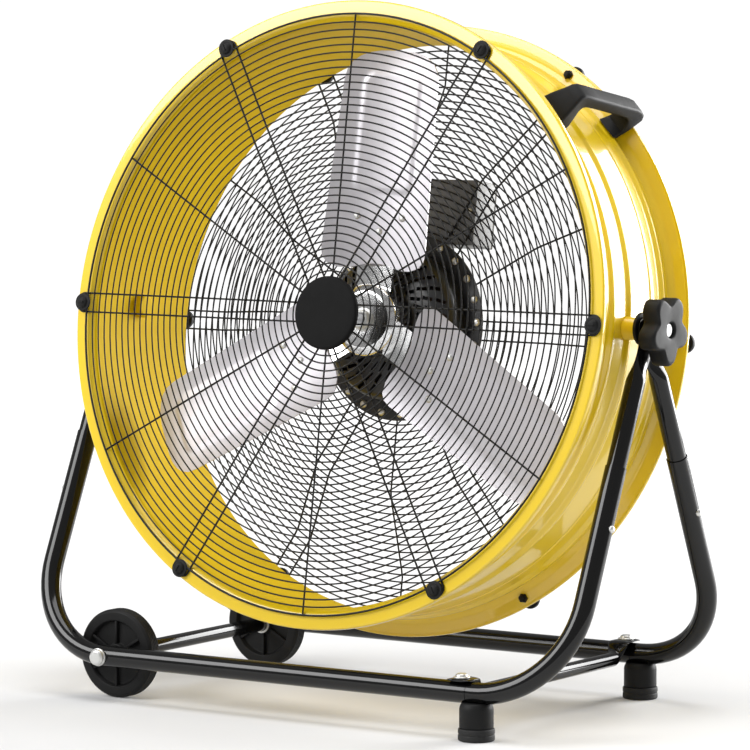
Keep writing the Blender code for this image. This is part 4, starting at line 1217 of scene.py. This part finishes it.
class FAN_OT_pivots(bpy.types.Operator):
    """Fit the boss, disc and threaded bolt on each side of the drum."""

    bl_idname = "drum_fan.pivots"
    bl_label = "Tilt pivots"

    def execute(self, context):
        lug_inner = LEG_X - 2 * LUG_HALF - GAP
        disc_start = lug_inner - GAP - 0.0045
        wall = WALL_RADIUS
        for side, word in SIDES:
            boss = [(STEEL_BORE, wall - 0.0006), (0.0125, wall - 0.0006), (0.0120, wall + 0.0035),
                    (0.0110, disc_start - 0.0040), (0.0105, disc_start - GAP),
                    (STEEL_BORE, disc_start - GAP)]
            disc = [(STEEL_BORE, disc_start), (0.0130, disc_start), (0.0165, disc_start + 0.0012),
                    (0.0165, lug_inner - GAP), (STEEL_BORE, lug_inner - GAP)]
            inside = wall - 0.0110
            head = [(0.0, inside), (0.0105, inside), (0.0125, inside + 0.002),
                    (0.0125, wall - SHEET - 0.0003), (0.0, wall - SHEET - 0.0003)]
            # The head inside the drum takes the darker inside enamel, with its painted shade.
            head_piece = mirrored(turned(head, 56, "X", radius=0.0008), side)
            add_piece(f"pivot_head_{word}", head_piece, "drum_enamel_inside", "drum",
                      place=PIVOT_PLACE)
            bolt = [(0.0, wall - SHEET), (0.0060, wall - SHEET)]
            pitch = 0.00125
            thread_start, thread_end = 0.3180, 0.3515
            for step in range(int((thread_end - thread_start) / pitch)):
                along = thread_start + step * pitch
                bolt += [(0.0060, along), (0.0060, along + pitch * 0.35),
                         (0.0055, along + pitch * 0.7)]
            bolt += [(0.0060, 0.3524), (0.0072, 0.3526), (0.0072, 0.3544), (0.0062, 0.3552),
                     (0.0, 0.3554)]
            for name, outline, material, node, radius, steps in (
                    ("pivot_spacer", boss, "drum_enamel", "pivot_boss", 0.0025, 4),
                    ("pivot_washer", disc, "moulded_plastic", "pivot_disc", 0.0008, 4),
                    ("pivot_stud", bolt, "zinc_plate", "pivot_bolt", 0.0002, 2)):
                shape = turned(outline, 56, "X", closed=outline is not bolt, radius=radius,
                               corner_steps=steps)
                add_piece(f"{name}_{word}", mirrored(shape, side), material, "drum",
                          [f"{node}_{word}"], place=PIVOT_PLACE, sharp=45.0)
        return {"FINISHED"}


def star_ring(x, share, points=100):
    """Outline of the five-lobed grip, one lobe down."""
    ring = []
    for step in range(points):
        turn = math.tau * step / points - math.pi / 2
        wave = math.cos(5 * (turn + math.pi / 2 - REST_TILT))
        radius = share * (0.0308 + 0.0056 * wave + 0.0012 * (1.0 - wave * wave))
        ring.append(Vector((x, radius * math.cos(turn), radius * math.sin(turn))))
    return ring


def round_ring(x, radius, points=100):
    turns = [math.tau * step / points - math.pi / 2 for step in range(points)]
    return [Vector((x, radius * math.cos(turn), radius * math.sin(turn))) for turn in turns]


class FAN_OT_knobs(bpy.types.Operator):
    """Mould the two five-lobed tilt knobs."""

    bl_idname = "drum_fan.knobs"
    bl_label = "Tilt knobs"

    def execute(self, context):
        start = LEG_X + 2 * LUG_HALF + 2 * GAP
        face = KNOB_FACE_X
        for side, word in SIDES:
            rings = [round_ring(start, 0.0132), round_ring(start + 0.0004, 0.0138),
                     round_ring(start + 0.0034, 0.0140), star_ring(start + 0.0036, 0.86),
                     star_ring(start + 0.0040, 0.93), star_ring(start + 0.0052, 0.985),
                     star_ring(start + 0.0066, 1.0), star_ring(face - 0.0040, 1.0),
                     star_ring(face - 0.0022, 0.985), star_ring(face - 0.0008, 0.950),
                     star_ring(face - 0.0001, 0.905), star_ring(face, 0.86),
                     round_ring(face, 0.0105), round_ring(face - 0.0003, 0.0088),
                     round_ring(face - 0.0010, 0.0082), round_ring(face - 0.0060, 0.0078),
                     round_ring(face - 0.0062, 0.0064), round_ring(start + 0.0002, 0.0064)]
            add_piece(f"lobed_knob_{word}", mirrored(loft(rings, closed=True), side),
                      "moulded_plastic", f"knob_{word}", [f"tilt_knob_{word}"],
                      place=PIVOT_PLACE, sharp=42.0)
        return {"FINISHED"}


# Hidden pieces, stage --------------------------------------------------------------------------
CAD_FINISHES = {"rotor_shaft": "turned_steel", "bearing_front": "turned_steel",
                "bearing_rear": "turned_steel", "stator": "winding_copper",
                "speed_switch": "moulded_plastic", "run_capacitor": "zinc_plate"}


class FAN_OT_hidden_pieces(bpy.types.Operator):
    """Give the pieces inside the motor and the box their finishes."""

    bl_idname = "drum_fan.hidden_pieces"
    bl_label = "Pieces inside the motor"

    def execute(self, context):
        for node, material in CAD_FINISHES.items():
            mesh = frame["nodes"][node].data
            mesh.materials.clear()
            mesh.materials.append(FINISHES[material])
        return {"FINISHED"}


def softbox(name, place, aim, width, height, power):
    """A rectangular area light."""
    light = bpy.data.lights.new(name, "AREA")
    light.shape = "RECTANGLE"
    light.size = width
    light.size_y = height
    light.energy = power
    obj = bpy.data.objects.new(name, light)
    obj.location = place
    obj.rotation_euler = (Vector(aim) - Vector(place)).to_track_quat("-Z", "Y").to_euler()
    bpy.context.scene.collection.objects.link(obj)
    return obj


class FAN_OT_stage(bpy.types.Operator):
    """Lay a pale floor with a painted glow that is dimmest round the fan, set soft lights and a
    camera.
    """

    bl_idname = "drum_fan.stage"
    bl_label = "Studio"

    def execute(self, context):
        scene = context.scene
        floor_mesh = bpy.data.meshes.new("studio_floor")
        bm = bmesh.new()
        bmesh.ops.create_circle(bm, cap_ends=True, segments=96, radius=14.0)
        bm.to_mesh(floor_mesh)
        bm.free()
        floor = bpy.data.objects.new("studio_floor", floor_mesh)
        floor.location = (0.0, 0.0, -0.0002)
        scene.collection.objects.link(floor)
        paint = finish("floor_paint", scene.fan_colours.floor, 0.70, mottle=(3.0, 0.99),
                       spread=0.02)
        nodes = paint.node_tree.nodes
        links = paint.node_tree.links
        # Painted glow: the floor glows more the farther it lies from the fan, so the floor round the
        # fan reads as shade and far off as white.
        distance = nodes.new("ShaderNodeVectorMath")
        distance.operation = "LENGTH"
        links.new(nodes["Texture Coordinate"].outputs["Object"], distance.inputs[0])
        glow = nodes.new("ShaderNodeMapRange")
        reach = (("From Min", 0.6), ("From Max", 4.0), ("To Min", 0.06), ("To Max", 0.80))
        for label, value in reach:
            glow.inputs[label].default_value = value
        links.new(distance.outputs["Value"], glow.inputs["Value"])
        shader = nodes["Principled BSDF"]
        shader.inputs["Emission Color"].default_value = (1.0, 1.0, 1.0, 1.0)
        links.new(glow.outputs["Result"], shader.inputs["Emission Strength"])
        floor_mesh.materials.append(paint)
        world = bpy.data.worlds.new("studio")
        world.use_nodes = True
        back = world.node_tree.nodes["Background"]
        back.inputs["Color"].default_value = (1.0, 1.0, 1.0, 1.0)
        path = world.node_tree.nodes.new("ShaderNodeLightPath")
        strength = world.node_tree.nodes.new("ShaderNodeMapRange")
        strength.inputs["To Min"].default_value = 0.36
        strength.inputs["To Max"].default_value = 1.05
        world.node_tree.links.new(path.outputs["Is Camera Ray"], strength.inputs["Value"])
        world.node_tree.links.new(strength.outputs["Result"], back.inputs["Strength"])
        scene.world = world
        aim = (0.0, 0.0, 0.38)
        softbox("key_left", (-2.0, -2.8, 2.4), aim, 2.4, 2.0, 120.0)
        softbox("rear_right", (1.35, 2.75, 1.05), aim, 2.2, 1.9, 170.0)
        softbox("top", (0.2, -0.2, 3.2), aim, 2.4, 1.8, 60.0)
        camera = bpy.data.cameras.new("camera")
        camera.lens = 209.4
        camera.sensor_width = 36.0
        obj = bpy.data.objects.new("camera", camera)
        ahead = Vector((-0.55124, 0.83023, -0.08278)).normalized()
        right = ahead.cross(UP).normalized()
        turn = Matrix((right, right.cross(ahead), -ahead)).transposed().to_4x4()
        obj.matrix_world = Matrix.Translation((2.5206, -3.7941, 0.7211)) @ turn
        scene.collection.objects.link(obj)
        scene.camera = obj
        scene.view_settings.view_transform = "Standard"
        return {"FINISHED"}


# Panel and registration ------------------------------------------------------------------------
MAKERS = (FAN_OT_drum_shell, FAN_OT_front_grille, FAN_OT_rear_grille, FAN_OT_badge,
          FAN_OT_rim_screws, FAN_OT_handle, FAN_OT_motor, FAN_OT_switch_box, FAN_OT_dial,
          FAN_OT_blades, FAN_OT_hub, FAN_OT_leg_tubes, FAN_OT_leg_tops, FAN_OT_cross_bar,
          FAN_OT_feet, FAN_OT_axle, FAN_OT_wheels, FAN_OT_pivots, FAN_OT_knobs,
          FAN_OT_hidden_pieces, FAN_OT_stage)


class FAN_PT_panel(bpy.types.Panel):
    """Lists the pieces of the fan."""

    bl_idname = "FAN_PT_panel"
    bl_label = "Drum fan"
    bl_space_type = "VIEW_3D"
    bl_region_type = "UI"
    bl_category = "Drum fan"

    def draw(self, context):
        for group in (context.scene.fan_sizes, context.scene.fan_colours):
            for key in group.__annotations__:
                self.layout.prop(group, key)
        for maker in MAKERS:
            self.layout.operator(maker.bl_idname)


CLASSES = (FanSizes, FanColours) + MAKERS + (FAN_PT_panel,)


def register():
    for item in CLASSES:
        bpy.utils.register_class(item)
    bpy.types.Scene.fan_sizes = PointerProperty(type=FanSizes)
    bpy.types.Scene.fan_colours = PointerProperty(type=FanColours)


def unregister():
    del bpy.types.Scene.fan_colours
    del bpy.types.Scene.fan_sizes
    for item in reversed(CLASSES):
        bpy.utils.unregister_class(item)


def main():
    register()
    make_finishes(bpy.context.scene.fan_colours)
    TREES.update(copies=copies_tree(), tube=tube_tree(), grille=grille_tree())
    for maker in MAKERS:
        group, name = maker.bl_idname.split(".")
        getattr(getattr(bpy.ops, group), name)()


if __name__ == "__main__":
    main()
